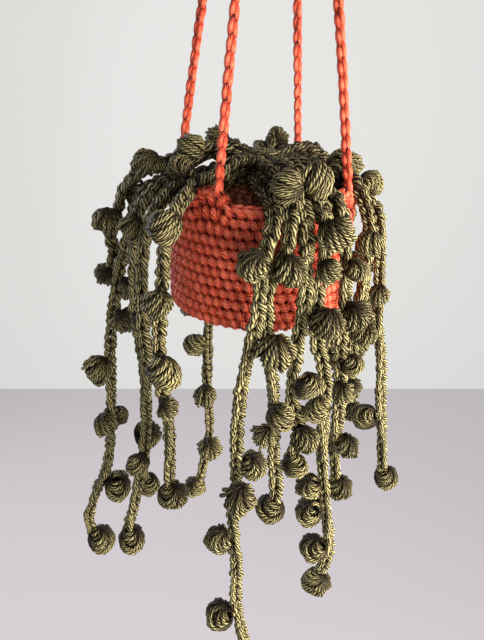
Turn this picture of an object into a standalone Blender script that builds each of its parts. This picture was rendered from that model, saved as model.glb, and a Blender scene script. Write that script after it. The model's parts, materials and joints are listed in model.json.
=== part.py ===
# Crocheted hanging planter with trailing bobble strands, after a string of pearls plant.
# Metres, +Z up. The origin is the hang point: the inside top of the loop that goes over a hook.
# Heights named "above rim" or "below rim" are measured from the plane of the pot's top edge.

import math
import random

import bmesh
import bpy
from mathutils import Vector

MM = 0.001
GAP = 0.3 * MM                  # clearance between touching pieces

# Crochet gauge: worsted yarn worked firmly
STITCH_WIDTH = 4.85 * MM
ROUND_HEIGHT = 4.95 * MM
ROUND_STITCHES = 60
WALL_ROUNDS = 12
ROW_RELIEF = 0.8 * MM           # depth of the groove between two rounds

# Pot
RIM_RADIUS = ROUND_STITCHES * STITCH_WIDTH / math.tau + 0.6 * MM
WALL_TAPER = 1.4 * MM           # the base is this much smaller in radius than the rim
WALL = 3.6 * MM
WALL_HEIGHT = WALL_ROUNDS * ROUND_HEIGHT
CORNER_RADIUS = 4.4 * MM        # rounded edge between wall and base
POT_SIDES = 36
PEAK_RISE = 5.5 * MM            # the rim is pulled up where a cord starts
PEAK_FLAT = 5.0                 # degrees to each side of the cord over which the peak is level
PEAK_WIDTH = 5.5                # degrees further to where most of the rise is gone

# Soil cover and the stuffing under it
SOIL_THICKNESS = 3.4 * MM
SOIL_EDGE = -4.5 * MM           # top of the soil at the wall, above rim
SOIL_CROWN = 5.5 * MM           # top of the soil at the centre, above rim
SOIL_SIDES = 28

# Hanger: four taut chain cords, a knot and a loop
CORD_DIAMETER = 4.5 * MM
CORD_AZIMUTHS = {"cord_right": -28.0, "cord_back": 64.0, "cord_left": 165.0, "cord_front": 243.0}
CORD_RING = 45.2 * MM           # radius at which a cord leaves the rim
CORD_POINTS = 21
APEX_ABOVE_RIM = 0.264          # where the four cords would meet
APEX_SHIFT = -6.0 * MM          # the knot sits a little to the left of the pot's middle
KNOT_RADIUS = 9.0 * MM
KNOT_HEIGHT = 17.0 * MM
KNOT_SIDES = 16
CORD_SPREAD_IN_KNOT = 5.2 * MM  # radius at which the cords enter the knot
LOOP_CORD = 5.0 * MM
LOOP_WIDTH = 24.0 * MM          # inside the loop
LOOP_HEIGHT = 36.0 * MM         # from the knot's top to the inside top of the loop
LOOP_FEET = 5.5 * MM            # distance between the centres of the loop's two feet
RIM_Z = -(LOOP_HEIGHT + KNOT_HEIGHT / 2 + APEX_ABOVE_RIM)

# Strands: a chain stem with bobbles on it
STEM_RADIUS = 2.7 * MM
STEM_SIDES = 5
STEM_STEP = 11.0 * MM           # longest straight piece of a stem
STEM_SAG = 0.25 * MM            # how far such a piece may cut a bend
BOBBLE_RADIUS = 8.4 * MM        # of a bobble of size 1, as are its other measures
BOBBLE_HALF_LENGTH = 7.7 * MM   # along the axis that its yarn is drawn in to at both ends
BOBBLE_LOBES = 6
LOBE_DEPTH = 0.15
BOBBLE_REACH = 9.0 * MM         # from the stem's centre to the bobble's centre
BOBBLE_SEED = 11
CROWN_RADIUS = 11.8 * MM        # the gathered start of the strands, at the centre of the soil
CROWN_HEIGHT = 6.4 * MM
OVER_SOIL = {                   # a strand's way from the crown to the rim: radius, height above rim (mm)
    "low": [(12.7, 8.6), (23.0, 7.6), (35.0, 5.6), (46.0, 4.7)],
    "high": [(10.0, 13.8), (21.0, 14.2), (34.0, 9.0), (46.0, 4.9)],
    "raised": [(10.0, 13.8), (21.0, 14.6), (34.0, 12.5), (46.0, 9.0)],
    "arched": [(10.0, 13.8), (21.0, 17.6), (34.0, 17.5), (46.0, 11.0)],
}
SIDE_TRIES = (0, 20, -20, 40, -40, 60, -60, 80, -80, 100, -100, 125, -125, 150, -150, 180)

# Each strand: where it leaves the crown and where it crosses the rim (degrees), its way over the soil,
# its hanging route in mm from the pot's axis and the rim plane, and its bobbles as (mm up from the tip,
# side, size), side 0 facing out or up and +90 turned towards larger azimuths.
STRANDS = {
    "strand_left_short": dict(
        start=178, rim=181, over="arched",
        route=[(-61, -1, 6), (-70, -3, -3), (-73, -4, -13), (-77, -5, -26), (-75, -6, -35),
               (-77, -7, -44)],
        bobbles=[(0, -20, 0.76), (26, 70, 0.91), (60, 60, 0.87), (44, -160, 0.98), (84, 70, 0.86)]),
    "strand_left_long": dict(
        start=160, rim=192, over="low",
        route=[(-60, -11, -5), (-67, -13, -25), (-72, -14, -50), (-77, -14, -88), (-78, -14, -120),
               (-79, -14, -148), (-82, -15, -168), (-90, -15, -188), (-94, -15, -205), (-92, -15, -216)],
        bobbles=[(0, 150, 1.10), (42, 170, 1.08), (86, 70, 0.87), (84, -130, 0.70), (120, 40, 0.97),
                 (150, 140, 0.88), (168, 150, 0.80)]),
    "strand_left_inner": dict(
        start=196, rim=202, over="low",
        route=[(-57, -22, -6), (-61, -25, -25), (-61, -26, -55), (-57, -25, -90), (-56, -25, -125),
               (-58, -26, -162)],
        bobbles=[(0, 130, 0.90), (21, -110, 0.96), (81, 110, 0.71), (97, 100, 0.66), (145, 60, 0.78)]),
    "strand_left_front": dict(
        start=222, rim=213, over="low",
        route=[(-49, -33, -5), (-54, -38, -24), (-55, -39, -55), (-53, -39, -82), (-54, -39, -105),
               (-54, -39, -128), (-58, -40, -155), (-64, -41, -188)],
        bobbles=[(0, 120, 1.03), (47, 40, 0.76), (203, -10, 0.83)]),
    "strand_front_left": dict(
        start=232, rim=225, over="high",
        route=[(-38, -42, -2), (-42, -49, -14), (-43, -51, -32), (-45, -52, -52), (-44, -51, -85),
               (-40, -50, -112), (-40, -50, -148)],
        bobbles=[(0, 90, 0.96), (50, 50, 0.69), (72, 60, 0.95), (106, 40, 0.90), (138, 30, 0.92)]),
    "strand_front_long": dict(
        start=258, rim=276, over="low",
        route=[(5, -57, -4), (3, -61, -12), (1, -62, -26), (0, -62, -42), (-3, -62, -61), (-6, -61, -87),
               (-6, -61, -105), (-5, -61, -122), (-4, -61, -141), (-5, -61, -157), (-2, -61, -189),
               (-2, -61, -206), (-1, -61, -221), (2, -61, -236), (6, -61, -256)],
        bobbles=[(0, -90, 1.05), (29, -100, 1.10), (83, -90, 0.95), (117, 10, 1.00), (131, 90, 0.89),
                 (237, -40, 0.85)]),
    "strand_front_second": dict(
        start=274, rim=284, over="raised",
        route=[(12, -56, 0), (12, -58, -10), (10, -57, -18), (6, -56, -30), (4, -56, -46), (7, -57, -68),
               (10, -57, -84), (12, -57, -109), (13, -57, -123), (16, -57, -140), (16, -57, -148)],
        bobbles=[(0, -60, 0.93), (42, -60, 0.75), (55, 10, 0.90), (88, 10, 1.03), (130, 40, 0.91),
                 (160, -30, 0.90)]),
    "strand_front_third": dict(
        start=292, rim=290, over="low",
        route=[(18, -51, -4), (20, -54, -20), (21, -54, -45), (20, -54, -70), (20, -54, -88),
               (24, -54, -106), (23, -54, -122)],
        bobbles=[(0, 20, 0.85), (14, 0, 0.87), (42, 50, 0.85), (20, 130, 0.66)]),
    "strand_front_fourth": dict(
        start=308, rim=300, over="high",
        route=[(27, -47, -4), (28, -51, -18), (27, -52, -40), (29, -51, -58), (35, -50, -78),
               (37, -49, -108), (40, -49, -135), (46, -48, -168), (49, -48, -190), (46, -48, -204)],
        bobbles=[(0, -30, 1.02), (15, -140, 0.94), (43, -140, 1.03), (61, -130, 0.88), (111, -70, 0.75),
                 (159, 0, 0.97), (183, 0, 0.67), (197, 0, 0.97), (217, -10, 0.94)]),
    "strand_right_front": dict(
        start=320, rim=313, over="low",
        route=[(36, -41, -4), (39, -43, -20), (41, -43, -46), (43, -42, -76), (45, -41, -100),
               (46, -40, -122), (49, -40, -146)],
        bobbles=[(0, 10, 0.85), (23, 0, 0.81), (17, 130, 0.84), (57, -40, 0.70), (71, 20, 0.70),
                 (99, 0, 0.89), (121, 0, 0.70)]),
    "strand_right_inner": dict(
        start=343, rim=340, over="high",
        route=[(50, -18, -4), (53, -22, -18), (52, -26, -45), (51, -26, -70), (51, -26, -92)],
        bobbles=[(0, 10, 0.76), (29, -30, 0.77), (73, -70, 0.79), (111, 30, 0.87)]),
    "strand_right_long": dict(
        start=355, rim=352, over="low",
        route=[(55, -10, -3), (60, -10, -17), (63, -10, -40), (66, -10, -64), (71, -10, -88),
               (74, -10, -112), (79, -10, -138), (82, -10, -160)],
        bobbles=[(0, -20, 0.93), (38, -170, 0.99), (114, -90, 0.73), (168, 30, 0.78)]),
    "strand_right": dict(
        start=18, rim=14, over="high",
        route=[(55, 12, -3), (59, 13, -22), (60, 14, -55), (60, 14, -92), (62, 14, -128)],
        bobbles=[(0, -90, 0.88), (68, -90, 0.86), (40, -100, 0.86), (90, -120, 0.81)]),
    "strand_right_back": dict(
        start=53, rim=40, over="arched",
        route=[(46, 36, 3), (49, 38, -14), (50, 39, -45), (49, 38, -80), (50, 38, -108)],
        bobbles=[(0, -70, 0.85), (33, -170, 0.90), (61, -70, 0.85), (91, -130, 0.81), (115, -50, 0.85)]),
    "strand_back_short": dict(
        start=88, rim=89, over="arched",
        route=[(3, 56, 4), (4, 60, -14), (4, 61, -44), (3, 60, -72)],
        bobbles=[(0, 160, 0.93), (29, 100, 0.90), (53, 90, 0.88), (107, -60, 0.77)]),
    "strand_back_long": dict(
        start=106, rim=115, over="low",
        route=[(-24, 51, -5), (-27, 54, -25), (-28, 55, -60), (-29, 55, -100), (-28, 55, -140),
               (-25, 55, -180), (-28, 55, -212), (-31, 55, -228)],
        bobbles=[(0, 80, 0.98), (36, 160, 1.10), (78, 150, 1.05), (112, 70, 0.96), (154, 170, 0.90),
                 (184, 60, 0.89)]),
    "strand_back_left": dict(
        start=133, rim=138, over="arched",
        route=[(-41, 38, 4), (-44, 42, -14), (-44, 43, -45), (-41, 43, -78)],
        bobbles=[(0, -180, 0.90), (25, 150, 0.85), (59, 120, 0.82), (113, 60, 0.80)]),
}

# Colours, roughness
CORAL = (0.63, 0.13, 0.075)
BROWN = (0.13, 0.055, 0.033)
OLIVE = (0.115, 0.12, 0.05)
WHITE = (0.80, 0.79, 0.76)


def clear_scene():
    for old in list(bpy.data.objects):
        bpy.data.objects.remove(old, do_unlink=True)


def yarn_material(name, color, roughness=0.9):
    material = bpy.data.materials.new(name)
    material.use_nodes = True
    shader = material.node_tree.nodes["Principled BSDF"]
    shader.inputs["Base Color"].default_value = (*color, 1.0)
    shader.inputs["Roughness"].default_value = roughness
    shader.inputs["Metallic"].default_value = 0.0
    material.diffuse_color = (*color, 1.0)
    return material


def add_object(name, data, material):
    obj = bpy.data.objects.new(name, data)
    bpy.context.scene.collection.objects.link(obj)
    if material is not None:
        data.materials.append(material)
    return obj


def mesh_from(bm, name):
    bmesh.ops.recalc_face_normals(bm, faces=bm.faces)
    bmesh.ops.triangulate(bm, faces=bm.faces)
    mesh = bpy.data.meshes.new(name)
    bm.to_mesh(mesh)
    bm.free()
    return mesh


def turned(name, profile, sides):
    """A solid turned round the vertical axis; the profile starts and ends on the axis."""
    bm = bmesh.new()
    verts = [bm.verts.new((r, 0.0, z)) for r, z in profile]
    edges = [bm.edges.new(pair) for pair in zip(verts, verts[1:])]
    bmesh.ops.spin(bm, geom=verts + edges, cent=(0, 0, 0), axis=(0, 0, 1), angle=math.tau, steps=sides)
    bmesh.ops.remove_doubles(bm, verts=bm.verts, dist=1e-6)
    return bm


def polar(radius, azimuth, z):
    angle = math.radians(azimuth)
    return Vector((radius * math.cos(angle), radius * math.sin(angle), z))


def arc(center, radius, start, end, steps):
    """Points (r, z) on an arc of a profile, angles in degrees from the outward direction."""
    angles = [math.radians(start + (end - start) * i / steps) for i in range(steps + 1)]
    return [(center[0] + radius * math.cos(a), center[1] + radius * math.sin(a)) for a in angles]


def wall_radius(depth):
    """Outer radius of the pot at a depth below the rim."""
    return RIM_RADIUS - WALL_TAPER * depth / WALL_HEIGHT


def peak(azimuth):
    """How far the rim is pulled up at this azimuth by the nearest cord."""
    nearest = min(abs((azimuth - cord + 180) % 360 - 180) for cord in CORD_AZIMUTHS.values())
    return PEAK_RISE * math.exp(-((max(0.0, nearest - PEAK_FLAT) / PEAK_WIDTH) ** 2))


def pot_profile():
    bottom = RIM_Z - WALL_HEIGHT
    base_radius = wall_radius(WALL_HEIGHT)
    outer = [(0.0, bottom), (base_radius * 0.5, bottom)]
    outer += arc((base_radius - CORNER_RADIUS, bottom + CORNER_RADIUS), CORNER_RADIUS, -90, 0, 3)
    first = math.ceil(CORNER_RADIUS / ROUND_HEIGHT)
    for row in range(WALL_ROUNDS - first):
        depth = WALL_HEIGHT - (first + row) * ROUND_HEIGHT
        outer.append((wall_radius(depth) - ROW_RELIEF, RIM_Z - depth))
        outer.append((wall_radius(depth), RIM_Z - depth + ROUND_HEIGHT * 0.5))
    rim = [(RIM_RADIUS - 0.6 * MM, RIM_Z + 0.3 * MM), (RIM_RADIUS - WALL + 0.6 * MM, RIM_Z + 0.3 * MM)]
    inner_bottom = bottom + WALL
    inner_radius = base_radius - WALL
    inner = [(RIM_RADIUS - WALL, RIM_Z - 1.0 * MM)]
    corner = arc((inner_radius - 3 * MM, inner_bottom + 3 * MM), 3 * MM, -90, 0, 2)
    inner += reversed(corner)
    inner.append((0.0, inner_bottom))
    return outer + rim + inner


def make_pot(material):
    bm = turned("pot", pot_profile(), POT_SIDES)
    top = RIM_Z - 1.5 * MM
    for vert in bm.verts:
        if vert.co.z > top:
            vert.co.z += peak(math.degrees(math.atan2(vert.co.y, vert.co.x)))
    return add_object("pot", mesh_from(bm, "pot"), material)


def soil_height(radius):
    """Top of the domed soil cover, above rim."""
    share = min(1.0, radius / (RIM_RADIUS - WALL))
    return SOIL_EDGE + (SOIL_CROWN - SOIL_EDGE) * (1 - share * share)


def make_soil(material):
    edge = RIM_RADIUS - WALL - GAP - 0.4 * MM
    radii = [edge * i / 4 for i in range(5)]
    top = [(r, RIM_Z + soil_height(r)) for r in reversed(radii)]
    under = [(r, RIM_Z + soil_height(r) - SOIL_THICKNESS) for r in radii[::2]]
    return add_object("soil_cover", mesh_from(turned("soil", under + top, SOIL_SIDES), "soil"), material)


def make_stuffing(material):
    bottom = RIM_Z - WALL_HEIGHT + WALL + GAP
    base = wall_radius(WALL_HEIGHT) - WALL - 3.4 * MM
    edge = RIM_RADIUS - WALL - GAP - 0.7 * MM
    lower_edge = wall_radius(WALL_HEIGHT * 0.9) - WALL - GAP - 0.4 * MM
    radii = [edge * i / 3 for i in range(4)]
    top = [(r, RIM_Z + soil_height(r) - SOIL_THICKNESS - GAP - 0.25 * MM) for r in reversed(radii)]
    side = [(0.0, bottom), (base, bottom), (lower_edge, bottom + 5 * MM)]
    mesh = mesh_from(turned("stuffing", side + top, SOIL_SIDES), "stuffing")
    return add_object("stuffing", mesh, material)


def curve_object(name, points, diameter, sides_level, material):
    curve = bpy.data.curves.new(name, "CURVE")
    curve.dimensions = "3D"
    curve.bevel_depth = diameter / 2
    curve.bevel_resolution = sides_level
    curve.use_fill_caps = True
    spline = curve.splines.new("POLY")
    spline.points.add(len(points) - 1)
    for place, point in zip(spline.points, points):
        place.co = (*point, 1.0)
    return add_object(name, curve, material)


def cord_ends(azimuth):
    low = polar(CORD_RING, azimuth, RIM_Z + PEAK_RISE + 0.3 * MM + GAP)
    high = polar(CORD_SPREAD_IN_KNOT, azimuth, RIM_Z + APEX_ABOVE_RIM - KNOT_HEIGHT * 0.5 - 2.5 * GAP)
    return low, high + Vector((APEX_SHIFT, 0.0, 0.0))


def make_cords(material):
    for name, azimuth in CORD_AZIMUTHS.items():
        low, high = cord_ends(azimuth)
        points = [low.lerp(high, i / (CORD_POINTS - 1)) for i in range(CORD_POINTS)]
        curve_object(name, points, CORD_DIAMETER, 2, material)


def make_knot(material):
    """A round knot of wrapped cords, with two turns showing as ridges and a flat under and top side."""
    center = RIM_Z + APEX_ABOVE_RIM
    half = KNOT_HEIGHT / 2
    shape = [(0.0, -1.0), (0.86, -1.0), (0.96, -0.72), (0.98, -0.45), (0.88, -0.22), (1.0, 0.05),
             (0.98, 0.3), (0.86, 0.5), (0.9, 0.75), (0.7, 1.0), (0.0, 1.0)]
    profile = [(r * KNOT_RADIUS, center + z * half) for r, z in shape]
    bm = turned("knot", profile, KNOT_SIDES)
    bmesh.ops.translate(bm, verts=bm.verts, vec=(APEX_SHIFT, 0.0, 0.0))
    return add_object("knot", mesh_from(bm, "knot"), material)


def loop_points():
    """The hanging loop's centreline: two feet in the knot, straight flanks and a round top."""
    foot = RIM_Z + APEX_ABOVE_RIM + KNOT_HEIGHT / 2 + GAP
    half = (LOOP_WIDTH + LOOP_CORD) / 2
    top = LOOP_CORD / 2
    center = top - half
    start = math.radians(-38)
    count = 20
    points = [Vector((LOOP_FEET / 2, 0.0, foot)), Vector((LOOP_FEET / 2, 0.0, foot + 5 * MM))]
    for i in range(count + 1):
        a = start + (math.pi - 2 * start) * i / count
        points.append(Vector((half * math.cos(a), 0.0, center + half * math.sin(a))))
    points += [Vector((-LOOP_FEET / 2, 0.0, foot + 5 * MM)), Vector((-LOOP_FEET / 2, 0.0, foot))]
    return smooth([point + Vector((APEX_SHIFT, 0.0, 0.0)) for point in points], 4.5 * MM)


def make_loop(material):
    return curve_object("hanging_loop", loop_points(), LOOP_CORD, 2, material)


def smooth(points, step):
    """Evenly spaced points on a smooth curve through the given ones."""
    fine = []
    padded = [points[0] * 2 - points[1], *points, points[-1] * 2 - points[-2]]
    for a, b, c, d in zip(padded, padded[1:], padded[2:], padded[3:]):
        for i in range(12):
            t = i / 12
            fine.append(0.5 * (2 * b + (c - a) * t + (2 * a - 5 * b + 4 * c - d) * t * t
                               + (3 * b - a - 3 * c + d) * t * t * t))
    fine.append(points[-1].copy())
    lengths = [0.0]
    for a, b in zip(fine, fine[1:]):
        lengths.append(lengths[-1] + (b - a).length)
    count = max(2, round(lengths[-1] / step))
    result = []
    k = 0
    for i in range(count + 1):
        wanted = lengths[-1] * i / count
        while k < len(lengths) - 2 and lengths[k + 1] < wanted:
            k += 1
        share = (wanted - lengths[k]) / (lengths[k + 1] - lengths[k])
        result.append(fine[k].lerp(fine[k + 1], share))
    return result


def strand_route(strand):
    """The stem's points: from the crown over the soil and the rim, then down its own hanging route."""
    start, rim = strand["start"], strand["rim"]
    over = OVER_SOIL[strand["over"]]
    lift = peak(rim) / MM
    turns = [start + (rim - start) * share for share in (0.0, 0.4, 0.85, 1.0)]
    points = [polar(r * MM, turn, RIM_Z + z * MM) for (r, z), turn in zip(over, turns)]
    points[-1].z += lift * MM
    points += [Vector((x * MM, y * MM, RIM_Z + z * MM)) for x, y, z in strand["route"]]
    return smooth(points, 2.0 * MM)


def stem_frame(route, from_tip):
    """Place, direction to the tip and outward direction at a distance back from the tip."""
    steps = from_tip / (route[1] - route[0]).length
    k = max(1, min(len(route) - 2, len(route) - 1 - round(steps)))
    along = (route[k + 1] - route[k - 1]).normalized()
    place = route[k] if round(steps) > 0 else route[-1]
    radial = Vector((place.x, place.y, 0.0)).normalized()
    out = radial + Vector((0.0, 0.0, 1.0))
    out = (out - along * out.dot(along)).normalized()
    return place, along, out


def bobble_center(route, from_tip, side, size):
    place, along, out = stem_frame(route, from_tip)
    angle = math.radians(side)
    turned_out = out * math.cos(angle) + out.cross(along) * math.sin(angle)
    reach = BOBBLE_REACH * size
    if from_tip == 0:
        turned_out = (turned_out * 0.45 + along * 0.9).normalized()
        reach *= 0.75
    return place + turned_out * reach, along, turned_out


def distance_to_segment(point, start, end):
    line = end - start
    share = max(0.0, min(1.0, (point - start).dot(line) / line.length_squared))
    return (point - start - line * share).length


def room_at(center, ball_radius, own, routes, placed):
    """Free space round a bobble to everything that is not its own strand."""
    rooms = []
    for name, route in routes.items():
        if name != own:
            rooms.append(min((p - center).length for p in route) - STEM_RADIUS)
    rooms += [(other - center).length - other_radius for other, other_radius in placed]
    for azimuth in CORD_AZIMUTHS.values():
        low, high = cord_ends(azimuth)
        rooms.append(distance_to_segment(center, low, high) - CORD_DIAMETER / 2)
        rooms.append((center - low).length - 4 * MM)
    radius = math.hypot(center.x, center.y)
    height = center.z - RIM_Z
    if height < 1.0 * MM:
        rooms.append(math.hypot(max(0.0, radius - RIM_RADIUS), max(0.0, -WALL_HEIGHT - height)))
    elif radius < RIM_RADIUS - WALL:
        rooms.append(height - soil_height(radius))
    rooms.append(math.hypot(radius - (RIM_RADIUS - WALL / 2), height - 0.5 * MM) - WALL / 2)
    crown_top = soil_height(0) + CROWN_HEIGHT
    rooms.append(math.hypot(max(0.0, radius - CROWN_RADIUS), max(0.0, height - crown_top)))
    return min(rooms) - ball_radius


def place_bobbles(routes):
    """Every bobble's centre and axes. It turns round its stem until it lies clear of its neighbours."""
    draw = random.Random(BOBBLE_SEED)
    placed = []
    bobbles = {}
    for name, strand in STRANDS.items():
        bobbles[name] = []
        for from_tip, side, size in strand["bobbles"]:
            radius = BOBBLE_RADIUS * size
            options = []
            for turn in SIDE_TRIES:
                center, along, out = bobble_center(routes[name], from_tip * MM, side + turn, size)
                room = room_at(center, radius, name, routes, placed)
                options.append((room, center, along, out))
                if room > GAP:
                    break
            room, center, along, out = max(options, key=lambda option: min(option[0], GAP))
            tilt = draw.uniform(-55, 55)
            across = out.cross(along).normalized()
            flat_along = across.cross(out).normalized()
            turn = math.radians(tilt)
            axis = flat_along * math.cos(turn) + across * math.sin(turn)
            placed.append((center, radius))
            bobbles[name].append(dict(center=center, axis=axis, out=out, size=size, room=room))
    return bobbles


def lobed_ball(bobble):
    """A bobble: a round bundle with its lobes drawn in at both ends of its axis."""
    axis = bobble["axis"]
    out = (bobble["out"] - axis * bobble["out"].dot(axis)).normalized()
    across = axis.cross(out)
    center = bobble["center"]
    radius = BOBBLE_RADIUS * bobble["size"]
    half = BOBBLE_HALF_LENGTH * bobble["size"]
    sides = BOBBLE_LOBES * 2
    bm = bmesh.new()
    rings = []
    for latitude in (-46, 0, 46):
        lat = math.radians(latitude)
        ring = []
        for i in range(sides):
            angle = math.tau * i / sides
            dent = 1.0 - LOBE_DEPTH * (i % 2)
            flat = out * math.cos(angle) + across * math.sin(angle)
            place = center + axis * half * math.sin(lat) + flat * radius * math.cos(lat) * dent
            ring.append(bm.verts.new(place))
        rings.append(ring)
    poles = [bm.verts.new(center - axis * half * 0.92), bm.verts.new(center + axis * half * 0.92)]
    for low, high in zip(rings, rings[1:]):
        for i in range(sides):
            j = (i + 1) % sides
            bm.faces.new((low[i], low[j], high[j], high[i]))
    for i in range(sides):
        j = (i + 1) % sides
        bm.faces.new((poles[0], rings[0][j], rings[0][i]))
        bm.faces.new((poles[1], rings[-1][i], rings[-1][j]))
    return mesh_from(bm, "bobble")


def thinned(route):
    """The fewest points of a route that keep its bends."""
    kept = [0]
    while kept[-1] < len(route) - 1:
        first = kept[-1]
        last = first + 1
        while last < len(route) - 1:
            start, end = route[first], route[last + 1]
            sag = max(distance_to_segment(p, start, end) for p in route[first:last + 1])
            if sag > STEM_SAG or (end - start).length > STEM_STEP:
                break
            last += 1
        kept.append(last)
    return [route[i] for i in kept]


def stem_mesh(route):
    """The chain stem as a slim tube along the route."""
    points = thinned(route)
    bm = bmesh.new()
    rings = []
    side = Vector((0.0, 0.0, 1.0))
    for i, point in enumerate(points):
        ahead = points[min(i + 1, len(points) - 1)]
        behind = points[max(i - 1, 0)]
        along = (ahead - behind).normalized()
        side = (side - along * side.dot(along)).normalized()
        across = along.cross(side)
        ring = []
        for k in range(STEM_SIDES):
            angle = math.tau * k / STEM_SIDES
            outward = side * math.cos(angle) + across * math.sin(angle)
            ring.append(bm.verts.new(point + outward * STEM_RADIUS))
        rings.append(ring)
    for low, high in zip(rings, rings[1:]):
        for k in range(STEM_SIDES):
            n = (k + 1) % STEM_SIDES
            bm.faces.new((low[k], low[n], high[n], high[k]))
    bm.faces.new(list(reversed(rings[0])))
    bm.faces.new(rings[-1])
    return mesh_from(bm, "stem")


def make_strand(name, route, bobbles, material):
    """The stem with its bobbles, joined into one body."""
    stem = add_object(name, stem_mesh(route), material)
    group = bpy.data.collections.new(name + "_bobbles")
    bpy.context.scene.collection.children.link(group)
    for number, bobble in enumerate(bobbles):
        ball = bpy.data.objects.new(f"{name}_bobble_{number}", lobed_ball(bobble))
        group.objects.link(ball)
    union = stem.modifiers.new("join bobbles", "BOOLEAN")
    union.operation = "UNION"
    union.operand_type = "COLLECTION"
    union.collection = group
    union.solver = "EXACT"
    bpy.context.view_layer.update()
    graph = bpy.context.evaluated_depsgraph_get()
    joined = bpy.data.meshes.new_from_object(stem.evaluated_get(graph))
    stem.modifiers.remove(union)
    stem.data = joined
    stem.data.materials.clear()
    stem.data.materials.append(material)
    for ball in list(group.objects):
        bpy.data.objects.remove(ball, do_unlink=True)
    bpy.data.collections.remove(group)
    return stem


def make_crown(material):
    """The gathered start of the strands: a low round button with a dimple, on the soil."""
    base = RIM_Z + soil_height(0) + GAP
    sides = 16
    shape = [(0.0, 0.0), (0.80, 0.0), (1.0, 0.30), (0.97, 0.68), (0.74, 1.0), (0.4, 0.97), (0.16, 0.7),
             (0.0, 0.62)]
    profile = [(r * CROWN_RADIUS, base + z * CROWN_HEIGHT) for r, z in shape]
    return add_object("strand_crown", mesh_from(turned("crown", profile, sides), "crown"), material)


def hang_from_origin():
    """All pieces are modelled round the pot's axis; the empty brings the loop to the origin."""
    axis = bpy.data.objects.new("pot_axis", None)
    bpy.context.scene.collection.objects.link(axis)
    axis.location = (-APEX_SHIFT, 0.0, 0.0)
    for obj in bpy.data.objects:
        if obj is not axis:
            obj.parent = axis


def main():
    clear_scene()
    coral = yarn_material("coral yarn", CORAL)
    brown = yarn_material("brown yarn", BROWN)
    olive = yarn_material("olive yarn", OLIVE)
    white = yarn_material("polyester filling", WHITE, 0.95)
    make_pot(coral)
    make_soil(brown)
    make_stuffing(white)
    make_cords(coral)
    make_knot(coral)
    make_loop(coral)
    make_crown(olive)
    routes = {name: strand_route(strand) for name, strand in STRANDS.items()}
    bobbles = place_bobbles(routes)
    for name in STRANDS:
        make_strand(name, routes[name], bobbles[name], olive)
    hang_from_origin()


main()
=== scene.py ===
# The looks of a crocheted hanging planter: coral pot and cords, brown soil, olive strands with bobbles.
# Every yarn is a tube with its plies drawn on it, worked into chains, single crochet and bobbles.
# All lengths are metres; sizes of the work are written in mm, times mm.

import json
import math
import random

import bmesh
import bpy
from mathutils import Matrix, Vector, noise

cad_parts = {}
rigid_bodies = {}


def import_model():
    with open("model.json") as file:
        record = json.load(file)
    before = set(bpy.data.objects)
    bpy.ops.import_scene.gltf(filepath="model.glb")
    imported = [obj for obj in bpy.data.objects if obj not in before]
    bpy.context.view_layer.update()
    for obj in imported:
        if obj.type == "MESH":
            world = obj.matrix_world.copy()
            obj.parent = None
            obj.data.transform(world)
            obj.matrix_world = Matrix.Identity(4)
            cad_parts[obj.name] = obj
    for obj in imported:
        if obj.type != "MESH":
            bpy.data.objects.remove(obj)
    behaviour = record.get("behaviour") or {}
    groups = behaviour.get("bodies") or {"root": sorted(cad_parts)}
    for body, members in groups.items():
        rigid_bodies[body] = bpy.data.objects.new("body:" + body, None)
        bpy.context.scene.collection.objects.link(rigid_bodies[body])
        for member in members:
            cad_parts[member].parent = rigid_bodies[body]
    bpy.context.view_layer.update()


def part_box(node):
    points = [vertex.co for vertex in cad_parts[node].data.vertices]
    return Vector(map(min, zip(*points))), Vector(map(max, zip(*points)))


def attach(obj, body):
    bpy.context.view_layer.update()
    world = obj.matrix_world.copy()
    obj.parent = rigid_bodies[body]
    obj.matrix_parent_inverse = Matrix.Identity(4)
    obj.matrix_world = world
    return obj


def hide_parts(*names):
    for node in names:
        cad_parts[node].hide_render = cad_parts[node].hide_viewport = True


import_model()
mm = 0.001

# The pot, and where it stands in the frame
pot = {
    # how far a cord pulls up the solid's rim, and on its two sides the degrees where the peak is level and
    # the degrees further to where it is gone
    "peakRise": 5.5 * mm,
    "peakSides": ((5.0, 5.5), (5.0, 5.5)),
    # the same for the worked rim, which is drawn up into the cord and leans
    "pull": 6.3 * mm,
    "pullSides": ((8.5, 6.5), (0.8, 3.8)),
    "pulledRounds": 3.4,         # the rounds under the rim that the cord still pulls up
    "rimAbovePlane": 0.3 * mm,   # the solid's lip above its rim plane
    "taper": 1.4 * mm,
    "wall": 3.6 * mm,
    "corner": 4.4 * mm,
    "rounds": 12,
    "roundHeight": 4.95 * mm,
    "stitches": 60,
    "stitchWidth": 4.85 * mm,
    "seat": 1.75 * mm,           # from the face of the fabric in to the middle of its yarn
    "drift": 0.44,               # each round lies this share of a stitch further round
    "baseDrift": 0.37,
    "baseSeat": 0.85,            # the base's yarn lies nearer to its face, this share of seat
    "unevenness": 0.05,          # how far a stitch strays along its round, in stitches
    "wander": 0.12 * mm,         # and up or down
    "braidIn": 1.9 * mm,         # the rim's braid, from the edge in and down
    "braidDown": 0.75 * mm,
    "backIn": 1.0 * mm,          # the fabric's back inside the rim, out from the wall's inner face and down
    "backDown": 2.9 * mm,
    "liningIn": 2.5 * mm,        # the lining, from the face of the fabric in
    "liningTop": 1.2 * mm,       # and down from the rim
    "seed": 5,
}
potLow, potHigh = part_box("pot")
rimZ = round(potHigh.z - pot["peakRise"] - pot["rimAbovePlane"], 5)
axisX = round((potLow.x + potHigh.x) / 2, 5)
rimRadius = pot["stitches"] * pot["stitchWidth"] / math.tau + 0.6 * mm
wallHeight = pot["rounds"] * pot["roundHeight"]
potAxis = Vector((axisX, 0.0, 0.0))
cordAzimuths = {"cord_right": -28.0, "cord_back": 64.0, "cord_left": 165.0, "cord_front": 243.0}
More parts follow.
